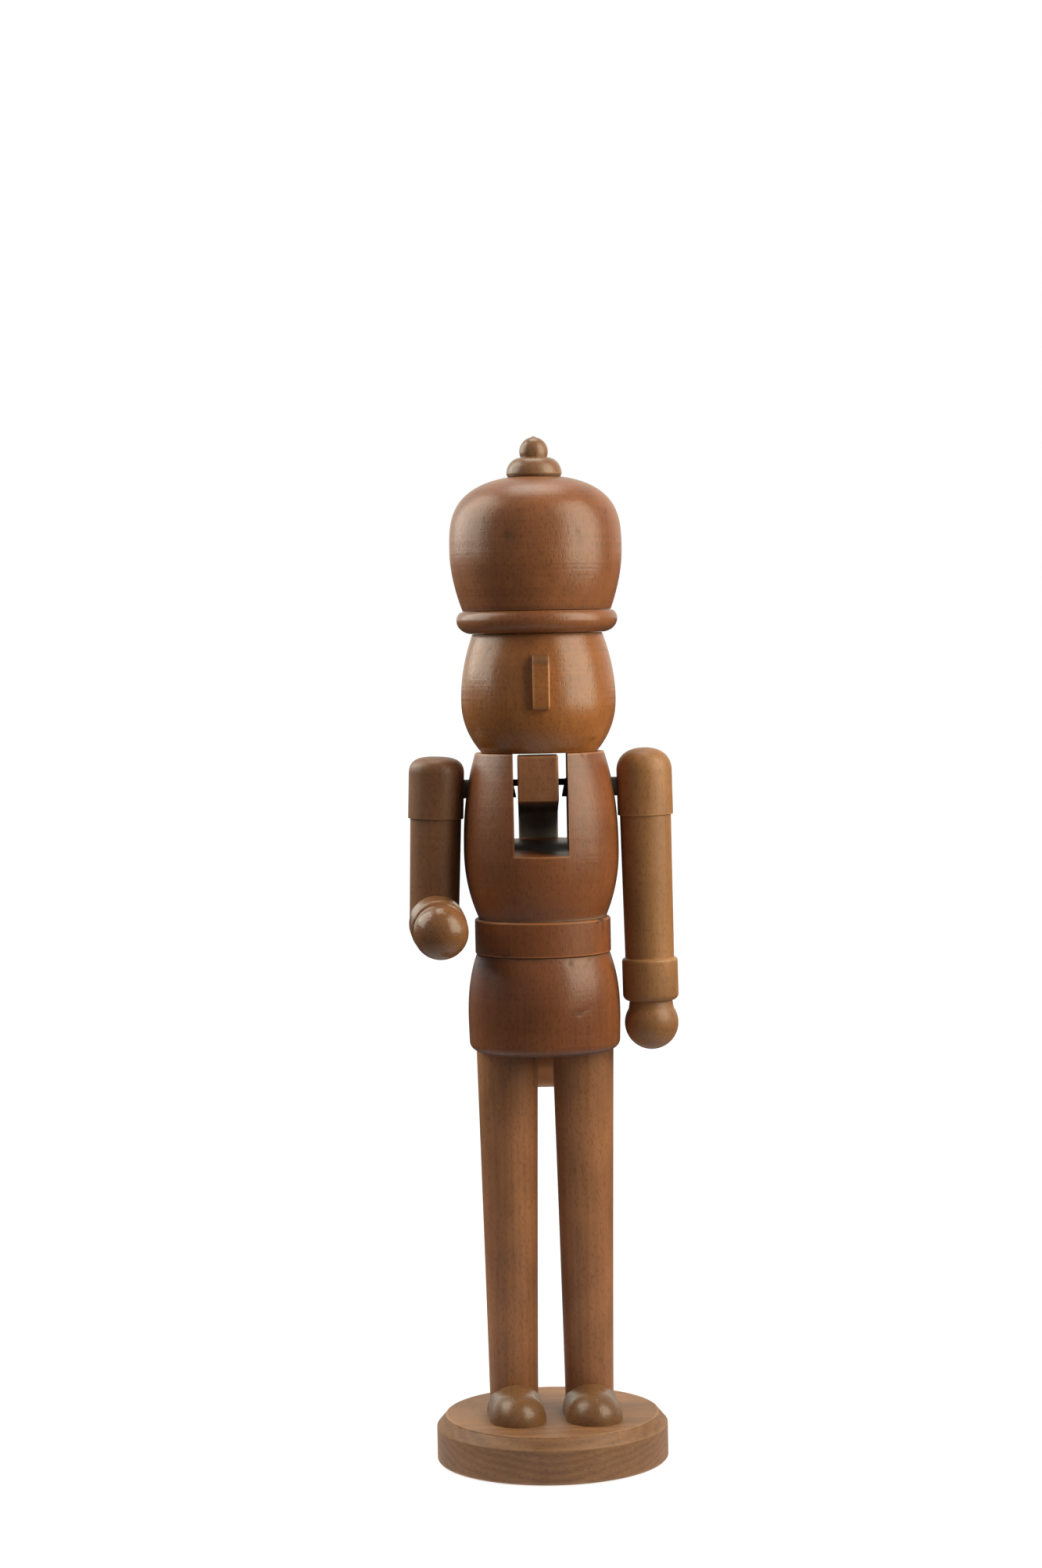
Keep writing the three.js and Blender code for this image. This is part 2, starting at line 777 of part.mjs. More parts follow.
// The same turning sawn at the elbow on a mitre, and its lower half turned forward about the joint
function makeBentArm(name) {
  const group = armGroup(name);
  const down = new THREE.Vector3(0, 0, -1);
  const forward = new THREE.Vector3(
    -sides[name] * Math.sin(forearmTurn) * Math.cos(forearmDroop),
    -Math.cos(forearmTurn) * Math.cos(forearmDroop),
    -Math.sin(forearmDroop),
  );
  const elbow = new THREE.Vector3(0, 0, -elbowDrop);
  const mitre = down.clone().add(forward).normalize();
  const overlap = 2 * sleeveTopRadius;
  const sawSide = 6 * sleeveTopRadius;

  const beyondMitre = (sense) => {
    const turn = new THREE.Quaternion().setFromUnitVectors(new THREE.Vector3(0, 0, 1), mitre);
    const offset = mitre.clone().multiplyScalar(sense * (sawSide / 2 - coveGap / 2)).add(elbow);
    return new THREE.BoxGeometry(sawSide, sawSide, sawSide).applyQuaternion(turn).translate(...offset);
  };
  const dowelAlongMitre = (radius, half) => {
    const turn = new THREE.Quaternion().setFromUnitVectors(new THREE.Vector3(0, 1, 0), mitre);
    return rod(radius, 2 * half, dowelFacets).applyQuaternion(turn).translate(...elbow);
  };
  const elbowBore = dowelAlongMitre(elbowDowelRadius + dowelFit, elbowDowelHalf + dowelEndGap);

  const upperDrop = elbowDrop + overlap;
  const upperBlank = turned(
    [[0, -upperDrop], [sleeveRadiusAt(upperDrop), -upperDrop], ...capProfile(name)],
    limbFacets,
  );
  const upper = cut(upperBlank, [beyondMitre(1), elbowBore, shoulderBore(name)]);
  addPiece(`${name}_upper_arm`, upper, stain, group);

  const lowerDrop = elbowDrop - overlap;
  const lowerBlank = turned(
    [...handProfile(), [sleeveRadiusAt(lowerDrop), -lowerDrop], [0, -lowerDrop]],
    limbFacets,
  );
  const bend = new THREE.Quaternion().setFromUnitVectors(down, forward);
  lowerBlank.translate(0, 0, elbowDrop).applyQuaternion(bend).translate(...elbow);
  addPiece(`${name}_forearm`, cut(lowerBlank, [beyondMitre(-1), elbowBore]), stain, group);

  addPiece('elbow_dowel', dowelAlongMitre(elbowDowelRadius, elbowDowelHalf), rawWood, group);
}

// A dowel through each cheek of the torso, with its inner end left proud and sawn aslant
function makeShoulderDowel(name) {
  const side = sides[name];
  const innerEnd = slotWidth / 2 - shoulderDowelProud[name];
  const outerEnd = Math.abs(shoulderX(name)) + shoulderDowelInArm;
  const overshoot = 2 * shoulderDowelRadius;
  const length = outerEnd - innerEnd + overshoot;
  const blank = rod(shoulderDowelRadius, length, pivotFacets).rotateZ(-quarter);
  blank.translate(outerEnd - length / 2, 0, 0);
  const sawBlock = new THREE.BoxGeometry(2 * overshoot, 2 * overshoot, 4 * overshoot)
    .translate(-overshoot, 0, 0)
    .rotateY(shoulderSawSlant)
    .translate(innerEnd, 0, 0);
  const geometry = cut(blank, [sawBlock]);
  const shoulderDowel = addPiece(`shoulder_dowel_${name}`, geometry, rawWood);
  if (side < 0) geometry.rotateZ(Math.PI);
  shoulderDowel.position.z = shoulderZ;
}

makeBase();
for (const name of Object.keys(sides)) {
  makeLeg(name);
  makeShoe(name);
  makeShoulderDowel(name);
}
makeSkirt();
makeBelt();
makeTorso();
makeLever();
makeHead();
makeNose();
makeHat();
makeFinial();
makeBentArm('right');
makeStraightArm('left');

export default nutcracker;
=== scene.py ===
"""A stained wooden nutcracker: smooth turned pieces, wood finishes and a small studio round its frame."""

import json
import math

import bmesh
import bpy
import numpy as np
from mathutils import Matrix, Vector

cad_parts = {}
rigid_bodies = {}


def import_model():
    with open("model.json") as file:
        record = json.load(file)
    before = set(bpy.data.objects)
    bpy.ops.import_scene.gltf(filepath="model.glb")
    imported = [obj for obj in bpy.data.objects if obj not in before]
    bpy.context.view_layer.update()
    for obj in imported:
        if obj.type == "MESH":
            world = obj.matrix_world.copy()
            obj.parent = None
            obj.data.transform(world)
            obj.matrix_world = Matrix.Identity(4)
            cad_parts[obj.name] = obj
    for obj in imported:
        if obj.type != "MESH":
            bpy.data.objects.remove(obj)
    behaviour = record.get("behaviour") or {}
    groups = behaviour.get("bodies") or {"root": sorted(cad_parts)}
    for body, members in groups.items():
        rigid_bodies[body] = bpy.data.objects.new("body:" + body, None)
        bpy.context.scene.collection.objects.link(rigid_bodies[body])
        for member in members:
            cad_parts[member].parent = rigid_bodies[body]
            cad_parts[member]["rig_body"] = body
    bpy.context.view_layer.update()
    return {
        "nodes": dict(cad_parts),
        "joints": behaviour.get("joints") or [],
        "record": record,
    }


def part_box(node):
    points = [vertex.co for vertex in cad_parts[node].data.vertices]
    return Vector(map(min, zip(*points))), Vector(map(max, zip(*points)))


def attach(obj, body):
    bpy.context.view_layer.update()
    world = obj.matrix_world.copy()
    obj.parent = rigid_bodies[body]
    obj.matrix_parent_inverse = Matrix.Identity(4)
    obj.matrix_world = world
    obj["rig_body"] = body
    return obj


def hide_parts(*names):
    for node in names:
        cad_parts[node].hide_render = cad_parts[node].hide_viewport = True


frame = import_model()

bl_info = {
    "name": "Wooden Nutcracker",
    "version": (1, 0, 0),
    "blender": (4, 5, 0),
    "location": "View3D > Sidebar > Nutcracker",
    "description": "Dresses the frame of a turned wooden nutcracker in smooth stained wood",
    "category": "Object",
}

MM = 0.001
QUARTER = math.pi / 2
WELD = 2e-7
SEAM_REACH = 0.5 * MM
SLOTS = {row["node"]: row["material_slot"] for row in frame["record"]["subparts"]}
JOINTS = {joint["name"]: joint for joint in frame["joints"]}
SIDES = {"right": -1.0, "left": 1.0}
WHITE = (1.0, 1.0, 1.0, 1.0)


# Properties: sizes that the frame doesn't give, colours and the studio

def size(label, millimetres, about):
    """A length property, given in millimetres and kept in metres."""
    return bpy.props.FloatProperty(
        name=label, description=about, default=millimetres * MM, min=0.0, precision=5,
        unit="LENGTH", subtype="DISTANCE",
    )


def angle(label, degrees, about):
    """An angle property, given in degrees and kept in radians."""
    return bpy.props.FloatProperty(
        name=label, description=about, default=math.radians(degrees), unit="ROTATION", subtype="ANGLE",
    )


def plain(label, value, about):
    """A bare number, such as the power of a curve."""
    return bpy.props.FloatProperty(name=label, description=about, default=value, min=0.0)


def tint(label, red, green, blue, about):
    """A colour property, given as 0 to 255 screen values and kept as linear light."""
    linear = [((value / 255 + 0.055) / 1.055) ** 2.4 for value in (red, green, blue)]
    return bpy.props.FloatVectorProperty(
        name=label, description=about, default=linear, min=0.0, max=1.0, size=3, subtype="COLOR",
    )


class StandSizes(bpy.types.PropertyGroup):
    """Base, legs and shoes."""

    base_foot_ease: size("Base foot ease", 0.6, "Small bevel round the base's underside")
    base_chamfer_width: size("Chamfer width", 3.3, "How far the base's chamfer comes in")
    base_chamfer_height: size("Chamfer height", 4.1, "How far the base's chamfer comes down")
    base_step: size("Chamfer step", 0.35, "Depth of the cutter's step above the chamfer")
    leg_foot_radius: size("Leg foot radius", 9.05, "Radius of a leg on the base")
    leg_power: plain("Leg taper power", 1.15, "How late a leg widens")
    shoe_radius: size("Shoe radius", 10.6, "Radius of the half-round shoe")
    shoe_reach: size("Shoe reach", 32.3, "From the leg's axis to the toe")
    shoe_heel: size("Shoe heel", 4.0, "From the leg's axis to the shoe's back corners")
    shoe_toe: size("Toe length", 13.0, "Length of the domed toe")
    shoe_turn: angle("Shoe turn", 4.0, "How far the shoes point to the figure's left")
    shoe_cove_gap: size("Cove gap", 0.3, "Room between the leg and the shoe")


class CoatSizes(bpy.types.PropertyGroup):
    """Skirt, belt and torso."""

    hem_radius: size("Hem radius", 28.05, "Radius of the skirt at its hem")
    hem_round: size("Hem round", 3.5, "Round at the foot of the skirt")
    skirt_widest_height: size("Skirt widest", 12.2, "Height of the skirt's widest place")
    skirt_top_radius: size("Skirt top radius", 24.8, "Radius of the skirt under the belt")
    skirt_power: plain("Skirt power", 2.45, "How late the skirt draws in")
    belt_ease: size("Belt ease", 0.5, "Bevel on the belt's edges")
    torso_foot_radius: size("Torso foot radius", 23.7, "Radius of the torso on the belt")
    torso_widest_height: size("Torso widest", 25.1, "Height of the torso's widest place")
    torso_top_radius: size("Torso top radius", 23.9, "Radius of the torso under the head")
    torso_lower_power: plain("Torso lower power", 2.1, "How late the torso draws in downwards")
    torso_upper_power: plain("Torso upper power", 2.3, "How late the torso draws in upwards")
    slot_width: size("Slot width", 20.0, "Width of the slot for the jaw")
    slot_front: size("Slot front", 24.1, "Height of the slot's floor at the front")
    slot_back: size("Slot back", 27.7, "Height of the slot's floor at the back")
    slot_ease: size("Slot ease", 0.45, "Worn round on the slot's edges")


class JawSizes(bpy.types.PropertyGroup):
    """The jaw lever, and the rods beside it."""

    lever_ease: size("Lever ease", 0.7, "Round on the lever's long edges")
    opening: angle("Opening", 33.0, "Angle of the lever's top behind the pin")
    face_height: size("Jaw height", 16.8, "Height of the jaw's front face")
    corner_round: size("Jaw corner", 1.2, "Round at the top of the jaw's face")
    top_fall: size("Jaw fall", 0.7, "How far the jaw's top falls towards the pin")
    underside_fall: size("Underside fall", 6.3, "How far the jaw's underside falls backwards")
    cove: size("Cove", 9.0, "Radius of the cove between the jaw and the tail")
    tail_depth: size("Tail depth", 12.0, "Depth of the tail at its top")
    tip_depth: size("Tip depth", 10.5, "Depth of the tail at its round tip")
    shoulder_round: size("Shoulder round", 8.0, "Round where the slope meets the tail")
    dowel_slant: angle("Dowel slant", 12.0, "Saw slant at the shoulder dowels' inner ends")


class HeadSizes(bpy.types.PropertyGroup):
    """Head, nose, hat and finial."""

    head_foot_radius: size("Head foot radius", 21.5, "Radius of the head on the torso")
    head_widest_height: size("Head widest", 19.6, "Height of the head's widest place")
    head_top_radius: size("Head top radius", 24.05, "Radius of the head under the brim")
    head_lower_power: plain("Head lower power", 2.25, "How late the head draws in downwards")
    head_upper_power: plain("Head upper power", 2.0, "How late the head draws in upwards")
    nose_reach: size("Nose reach", 2.4, "How far the nose stands out of the head")
    nose_width: size("Nose width", 6.2, "Width of the nose")
    nose_depth: size("Nose depth", 5.65, "Depth of the nose from its seat to its front")
    nose_brow: size("Nose brow", 1.9, "Flat on top of the nose")
    nose_shoulder: size("Nose shoulder", 4.2, "Height of the round at the nose's top")
    nose_tip: size("Nose tip", 1.6, "Round at the nose's foot")
    nose_ease: size("Nose ease", 0.6, "Round on the nose's long edges")
    nose_turn: angle("Nose turn", 1.8, "How far the nose sits to the figure's left")
    brim_widest_height: size("Brim widest", 5.0, "Height of the brim's widest place")
    crown_foot_radius: size("Crown foot radius", 27.4, "Radius of the crown on the brim")
    crown_widest_height: size("Crown widest", 21.8, "Height of the crown's widest place")
    crown_lower_power: plain("Crown lower power", 1.78, "How late the crown draws in downwards")
    crown_dome_height: size("Dome height", 28.0, "Height of the whole dome")
    crown_dome_power: plain("Dome power", 3.2, "How late the dome leaves the upright")
    crown_dome_square: plain("Dome squareness", 2.3, "How square the dome's shoulder is")
    finial_foot_radius: size("Finial foot radius", 9.7, "Radius of the finial on the crown")
    finial_cap_edge: size("Finial edge", 1.2, "Height of the finial cap's widest place")
    finial_cap_height: size("Finial cap", 7.2, "Height of the finial's cap")
    finial_ball_radius: size("Finial ball", 5.3, "Radius of the finial's ball")
    finial_ball_height: size("Ball height", 9.4, "Height of the ball's centre")
    finial_tip_radius: size("Finial tip", 1.3, "Radius of the flat on the ball")
    finial_tenon_radius: size("Tenon radius", 3.0, "Radius of the finial's tenon")
    finial_tenon_length: size("Tenon length", 10.0, "Length of the finial's tenon")


class ArmSizes(bpy.types.PropertyGroup):
    """The arms' turning, as drops from the shoulder dowel."""

    cap_radius: size("Cap radius", 10.3, "Radius of the shoulder cap")
    cap_drop: size("Cap drop", 10.7, "Foot of the shoulder cap")
    cap_start: size("Crown start", 5.5, "Where the cap starts to round over, above the dowel")
    right_rise: size("Right cap rise", 12.3, "Top of the right cap above the dowel")
    left_rise: size("Left cap rise", 14.2, "Top of the left cap above the dowel")
    right_square: plain("Right squareness", 2.9, "How square the right cap's top is")
    left_square: plain("Left squareness", 2.3, "How square the left cap's top is")
    sleeve_top_radius: size("Sleeve top", 9.5, "Radius of the sleeve under the cap")
    sleeve_foot_radius: size("Sleeve foot", 9.1, "Radius of the sleeve at the cuff")
    cuff_top: size("Cuff top", 64.0, "Top of the cuff")
    cuff_length: size("Cuff length", 16.0, "Length of the cuff")
    cuff_radius: size("Cuff radius", 10.37, "Radius of the cuff")
    cuff_top_round: size("Cuff top round", 1.2, "Round on the cuff's upper edge")
    cuff_foot_round: size("Cuff foot round", 2.4, "Round on the cuff's lower edge")
    wrist_radius: size("Wrist", 8.4, "Radius of the groove above the fist")
    fist_radius: size("Fist", 10.0, "Radius of the fist")
    fist_drop: size("Fist drop", 88.3, "Centre of the fist")
    elbow_drop: size("Elbow drop", 47.5, "Centre of the elbow's mitre")
    elbow_gap: size("Elbow gap", 0.12, "Glue line in the mitre")
    droop: angle("Forearm droop", 2.5, "How far the forearm falls below level")
    inward: angle("Forearm turn", 4.8, "How far the forearm points inwards")
    right_splay: angle("Right splay", 2.0, "How far the right arm leans out")
    left_splay: angle("Left splay", 0.7, "How far the left arm leans out")


class WoodFinish(bpy.types.PropertyGroup):
    """Stain of each group of pieces, and the varnish."""

    hat: tint("Hat", 149, 93, 57, "Stain of the brim and crown")
    # The finial's stain is lighter and greyer than the hat's: painted highlight for the sheen of the overhead
    # light on it.
    finial: tint("Finial", 148, 108, 77, "Stain of the finial")
    face: tint("Face", 167, 105, 56, "Stain of the head and nose")
    coat: tint("Coat", 149, 89, 52, "Stain of the torso and skirt")
    belt: tint("Belt", 150, 86, 45, "Stain of the belt")
    right_sleeve: tint("Right sleeve", 150, 102, 65, "Stain of the bent arm")
    left_sleeve: tint("Left sleeve", 175, 122, 74, "Stain of the straight arm")
    trousers: tint("Trousers", 182, 121, 77, "Stain of the legs")
    shoes: tint("Shoes", 149, 106, 67, "Stain of the shoes")
    stand: tint("Stand", 162, 113, 72, "Stain of the base")
    lever: tint("Lever", 156, 102, 64, "Stain of the jaw lever")
    bare: tint("Bare wood", 150, 124, 96, "Unstained dowels")
    wire: tint("Wire", 70, 70, 72, "The steel pin")
    roughness: plain("Varnish roughness", 0.3, "How dull the varnish is")


class StudioSettings(bpy.types.PropertyGroup):
    """Camera and lights."""

    camera_height: size("Camera height", 312.63, "Height of the lens above the floor")
    camera_distance: size("Camera distance", 1217.97, "From the lens to the figure's axis")
    camera_shift: size("Camera shift", 7.06, "How far the lens stands to the figure's right")
    camera_tilt: angle("Camera tilt", 2.828, "How far the camera looks down")
    camera_roll: angle("Camera roll", 1.138, "How far the camera leans")
    lens: plain("Lens", 75.41, "Focal length in millimetres on a 36 mm frame")
    key_power: plain("Key power", 4.9, "Watts of the soft box in front on the right")
    key_turn: angle("Key turn", 65.0, "Where the key box stands, from the front towards the right")
    side_power: plain("Side power", 4.6, "Watts of the soft box behind on the left")
    side_turn: angle("Side turn", -103.0, "Where the side box stands, from the front towards the right")
    top_power: plain("Top power", 2.2, "Watts of the overhead sheet")
    front_glow: plain("Front glow", 0.14, "Light from the room behind the camera")
    back_glow: plain("Back glow", 0.95, "Light from the white wall behind the figure")
    floor_glow: plain("Floor glow", 0.72, "Light from the sheet under the figure")


class NutcrackerSettings(bpy.types.PropertyGroup):
    """All settings of the figure."""

    stand: bpy.props.PointerProperty(type=StandSizes, name="Stand", description="Base, legs and shoes")
    coat: bpy.props.PointerProperty(type=CoatSizes, name="Coat", description="Skirt, belt and torso")
    jaw: bpy.props.PointerProperty(type=JawSizes, name="Jaw", description="Lever and rods")
    head: bpy.props.PointerProperty(type=HeadSizes, name="Head", description="Head, nose and hat")
    arms: bpy.props.PointerProperty(type=ArmSizes, name="Arms", description="Both arms")
    finish: bpy.props.PointerProperty(type=WoodFinish, name="Finish", description="Stains and varnish")
    studio: bpy.props.PointerProperty(type=StudioSettings, name="Studio", description="Camera and lights")


# Profiles: lists of (radius, height) points

def falling(widest, end, power, share):
    """A radius that falls from its widest to its end by a power of the share of the way."""
    return widest - (widest - end) * np.abs(share) ** power


def path(radius, height):
    """Points of a profile from their radii and heights."""
    return np.stack([radius, height], axis=1)


def joined(*stretches):
    """Stretches of points one after the other, as one array."""
    return np.concatenate([np.atleast_2d(np.asarray(stretch, float)) for stretch in stretches])


def arc(radius, height, across, up, start, end, count=24):
    """An elliptic arc in a profile, with angles measured from the outward direction."""
    turn = np.linspace(start, end, count)
    return path(radius + across * np.cos(turn), height + up * np.sin(turn))


def drawn_to(corner, start, end):
    """A quadratic curve from start to end that is drawn towards a corner."""
    share = np.linspace(0, 1, 24)[:, None]
    start, corner, end = (np.asarray(point, float) for point in (start, corner, end))
    return (1 - share) ** 2 * start + 2 * share * (1 - share) * corner + share ** 2 * end


def barrel_radius(height, foot, widest, top, widest_height, full, lower_power, upper_power):
    """Radius of a barrel at a height: it falls by a power from the widest place, downwards and upwards."""
    below = falling(widest, foot, lower_power, np.clip(1 - height / widest_height, 0, 1))
    share = np.clip((height - widest_height) / (full - widest_height), 0, 1)
    return np.where(height < widest_height, below, falling(widest, top, upper_power, share))


def softened(points, reach, count, closed=False):
    """Eases the corners of a path. It is walked in fine even steps, each point becomes the bell-weighted
    mean of its neighbours within the reach, and it is thinned to points that crowd where it turns."""
    points = np.asarray(points, float)
    if closed:
        points = np.concatenate([points, points[:1]])
    walked = np.r_[0.0, np.cumsum(np.linalg.norm(np.diff(points, axis=0), axis=1))]
    steps = max(int(walked[-1] / reach * 8), 64)
    even = np.linspace(0, walked[-1], steps + 1)
    fine = np.stack([np.interp(even, walked, points[:, axis]) for axis in (0, 1)], axis=1)
    side = 12
    weight = np.exp(-0.5 * (np.arange(-side, side + 1) / 4) ** 2)
    weight /= weight.sum()
    if closed:
        padded = np.concatenate([fine[-side - 1:-1], fine, fine[1:side + 1]])
    else:
        padded = np.concatenate([2 * fine[:1] - fine[side:0:-1], fine, 2 * fine[-1:] - fine[-2:-side - 2:-1]])
    smooth = np.stack([np.convolve(padded[:, axis], weight, "valid") for axis in (0, 1)], axis=1)
    leg = np.diff(smooth, axis=0)
    heading = np.unwrap(np.arctan2(leg[:, 1], leg[:, 0]))
    turned = np.r_[0.0, np.cumsum(np.abs(np.diff(heading)))]
    turned = np.r_[turned, turned[-1]]
    effort = np.linspace(0, 1, steps + 1) + turned / max(turned[-1], 1e-9)
    picks = np.linspace(0, effort[-1], count)
    eased = np.stack([np.interp(picks, effort, smooth[:, axis]) for axis in (0, 1)], axis=1)
    return eased[:-1] if closed else eased


# Surfaces: grids of points, rows by columns by three

def round_angles(segments):
    """Angles once round, from the figure's front towards its left, with the first repeated at the end."""
    turn = np.linspace(0, 2 * np.pi, segments + 1)
    turn[-1] = 0.0
    return turn


def ring_points(radius, turn, height):
    """Points at a radius and an angle from the front, counted towards +X, at a height."""
    radius, turn, height = np.broadcast_arrays(radius, turn, height)
    return np.stack([radius * np.sin(turn), -radius * np.cos(turn), height], axis=-1)


def lathe(profile, segments):
    """A profile turned once round the upright axis."""
    return ring_points(profile[:, :1], round_angles(segments)[None, :], profile[:, 1:])


def dent_depth(points, dents):
    """Depth of the dents at points of a turned surface: each is a bell, given as its angle from the front
    in degrees, its height, its reach along and up the surface, its lean, and its depth, in millimetres."""
    radius = np.hypot(points[..., 0], points[..., 1])
    turn = np.arctan2(points[..., 0], -points[..., 1])
    pressed = np.zeros_like(radius)
    for degrees, height, across, up, lean, depth in dents:
        along = radius * ((turn - math.radians(degrees) + np.pi) % (2 * np.pi) - np.pi)
        rise = points[..., 2] - height * MM
        bell = np.exp(-(along / (across * MM)) ** 2 - ((rise - lean * along) / (up * MM)) ** 2)
        pressed += depth * MM * bell
    return pressed


def dented(grid, dents):
    """Presses dents into a turned grid, towards its axis."""
    radius = np.maximum(np.hypot(grid[..., 0], grid[..., 1]), 1e-9)
    share = 1 - dent_depth(grid, dents) / radius
    return grid * np.stack([share, share, np.ones_like(share)], axis=-1)


def dirt(dents, seams):
    """Darkness at a piece's points: in dents, full at a depth of 0.35 mm, and beside seams, falling off
    within half a millimetre of each seam's height."""
    def at(places):
        pits = 0.75 * np.clip(dent_depth(places, dents) / (0.35 * MM), 0, 1)
        for seam in seams:
            pits = np.maximum(pits, 0.8 * np.exp(-np.abs(places[:, 2] - seam) / SEAM_REACH))
        return pits
    return at


def ruled(first, last, rows):
    """Straight lines between two rows of points."""
    share = np.linspace(0, 1, rows)[:, None, None]
    return first[None] * (1 - share) + last[None] * share


def capped(row):
    """A flat end: straight lines from a closed row to its middle."""
    middle = np.broadcast_to(row[:-1].mean(axis=0), row.shape)
    return ruled(row, middle, 2)


def slab(outline, width, ease, across=16, steps=6):
    """A closed outline of (y, z) points carried across X with rounded long edges: near each side the
    outline draws in along its own normals by a quarter circle. Returns the grid and its two side loops."""
    ahead = np.roll(outline, -1, axis=0) - np.roll(outline, 1, axis=0)
    inward = np.stack([-ahead[:, 1], ahead[:, 0]], axis=1)
    inward /= np.linalg.norm(inward, axis=1, keepdims=True)
    turn = np.linspace(0, QUARTER, steps + 1)
    left = np.stack([-(width / 2 - ease + ease * np.cos(turn)), ease * (1 - np.sin(turn))], axis=1)
    middle = np.linspace(left[-1, 0], -left[-1, 0], across)[1:-1]
    place = joined(left, np.stack([middle, 0 * middle], axis=1), left[::-1] * [-1, 1])
    shifted = outline[None] + place[:, 1:, None] * inward[None]
    across_x = np.broadcast_to(place[:, :1, None], (*shifted.shape[:2], 1))
    grid = np.concatenate([across_x, shifted], axis=-1)
    return np.concatenate([grid, grid[:, :1]], axis=1), (grid[0], grid[-1])


def spun(points, axis, turn):
    """Points turned about a main axis through the origin."""
    return points @ np.array(Matrix.Rotation(turn, 3, axis)).T


# Meshes

def add_piece(name, grids, fills=()):
    """One object from grids of points and flat loops. Points that fall together are welded, which closes
    seams and poles, and the faces are turned outwards."""
    points, faces, start = [], [], 0
    for grid in grids:
        rows, columns = grid.shape[:2]
        index = start + np.arange(rows * columns).reshape(rows, columns)
        corners = [index[:-1, :-1], index[:-1, 1:], index[1:, 1:], index[1:, :-1]]
        faces += np.stack(corners, axis=-1).reshape(-1, 4).tolist()
        points.append(grid.reshape(-1, 3))
        start += rows * columns
    for loop in fills:
        faces.append(list(range(start, start + len(loop))))
        points.append(loop)
        start += len(loop)
    mesh = bpy.data.meshes.new(name)
    mesh.from_pydata(np.concatenate(points).tolist(), [], faces)
    welded = bmesh.new()
    welded.from_mesh(mesh)
    bmesh.ops.remove_doubles(welded, verts=welded.verts, dist=WELD)
    bmesh.ops.dissolve_degenerate(welded, edges=welded.edges, dist=WELD)
    bmesh.ops.recalc_face_normals(welded, faces=welded.faces)
    welded.to_mesh(mesh)
    welded.free()
    piece = bpy.data.objects.new(name, mesh)
    bpy.context.scene.collection.objects.link(piece)
    return piece


def ease_edges(piece, width, limit=math.radians(40)):
    """Rounds every edge sharper than the limit, and keeps the result as the piece's own mesh."""
    bevel = piece.modifiers.new("ease", "BEVEL")
    bevel.width = width
    bevel.segments = 3
    bevel.limit_method = "ANGLE"
    bevel.angle_limit = limit
    shaped = piece.evaluated_get(bpy.context.evaluated_depsgraph_get())
    mesh = bpy.data.meshes.new_from_object(shaped)
    piece.modifiers.clear()
    piece.data = mesh


def values_of(collection, key, kind, width):
    """A mesh collection's values as an array."""
    flat = np.empty(len(collection) * width, kind)
    collection.foreach_get(key, flat)
    return flat.reshape(-1, width)


def keep_values(mesh, name, values):
    """Stores one value for each point of a mesh under a name that a material can read."""
    mesh.attributes.new(name, "FLOAT", "POINT").data.foreach_set("value", values.astype(np.float32))


EDGE_PALE_START = 1 / (2.4 * MM)
EDGE_PALE_FULL = 1 / (0.5 * MM)


def mark_wear_and_light(mesh, strength, rubbed_and_lit):
    """Pale edge mark from 0 to 1, partly wear and partly painted highlight on rounded edges: the tightest
    outward bend at each point, from a round of 2.4 mm to one of 0.5 mm. The bend along an edge is the change of
    the normal along it over its length. The place function adds paling by place, where hands take hold and
    where light is painted, and passes 1 where it leaves no stain."""
    places = values_of(mesh.vertices, "co", np.float32, 3).astype(float)
    normals = values_of(mesh.vertex_normals, "vector", np.float32, 3).astype(float)
    first, last = values_of(mesh.edges, "vertices", np.int32, 2).T
    run = places[last] - places[first]
    squared = np.maximum((run * run).sum(axis=1), 1e-14)
    bend = ((normals[last] - normals[first]) * run).sum(axis=1) / squared
    tightest = np.zeros(len(places))
    np.maximum.at(tightest, first, bend)
    np.maximum.at(tightest, last, bend)
    wear_and_light = strength * np.clip((tightest - EDGE_PALE_START) / (EDGE_PALE_FULL - EDGE_PALE_START), 0, 1)
    keep_values(mesh, "edge_wear", np.maximum(wear_and_light, rubbed_and_lit(places)) if rubbed_and_lit else wear_and_light)


def dress(piece, node, material, soot=None, wear_and_light=1.0, rubbed_and_lit=None):
    """Finishes a piece: smooth shading, the pale edge mark of wear and painted highlight, its material, and its
    place in the frame. The place function, where given, sets each point's darkening from its place, for dirt in
    pits and corners and for painted shade inside the slot."""
    mesh = piece.data
    mesh.polygons.foreach_set("use_smooth", np.ones(len(mesh.polygons), bool))
    mesh.set_sharp_from_angle(angle=math.radians(48))
    mark_wear_and_light(mesh, wear_and_light, rubbed_and_lit)
    if soot:
        keep_values(mesh, "soot", soot(values_of(mesh.vertices, "co", np.float32, 3)))
    mesh.materials.clear()
    mesh.materials.append(material)
    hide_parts(node)
    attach(piece, frame["nodes"][node]["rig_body"])


def turned_piece(name, node, profile, material, segments, foot, dents=(), seams=()):
    """A turned piece about the figure's own axis, standing at the given height, with dirt along its seams."""
    grid = lathe(profile + [0.0, foot], segments)
    dress(add_piece(name, [dented(grid, dents)]), node, material, dirt(dents, seams))


# Shader nodes

def feed(tree, socket, value):
    """Links a socket to another, or sets its value."""
    if isinstance(value, bpy.types.NodeSocket):
        tree.links.new(value, socket)
    else:
        socket.default_value = value


def put(tree, kind, inputs=None, **settings):
    """Adds a node with its settings and its inputs, and returns it."""
    node = tree.nodes.new(kind)
    for name, value in settings.items():
        setattr(node, name, value)
    for key, value in (inputs or {}).items():
        feed(tree, node.inputs[key], value)
    return node


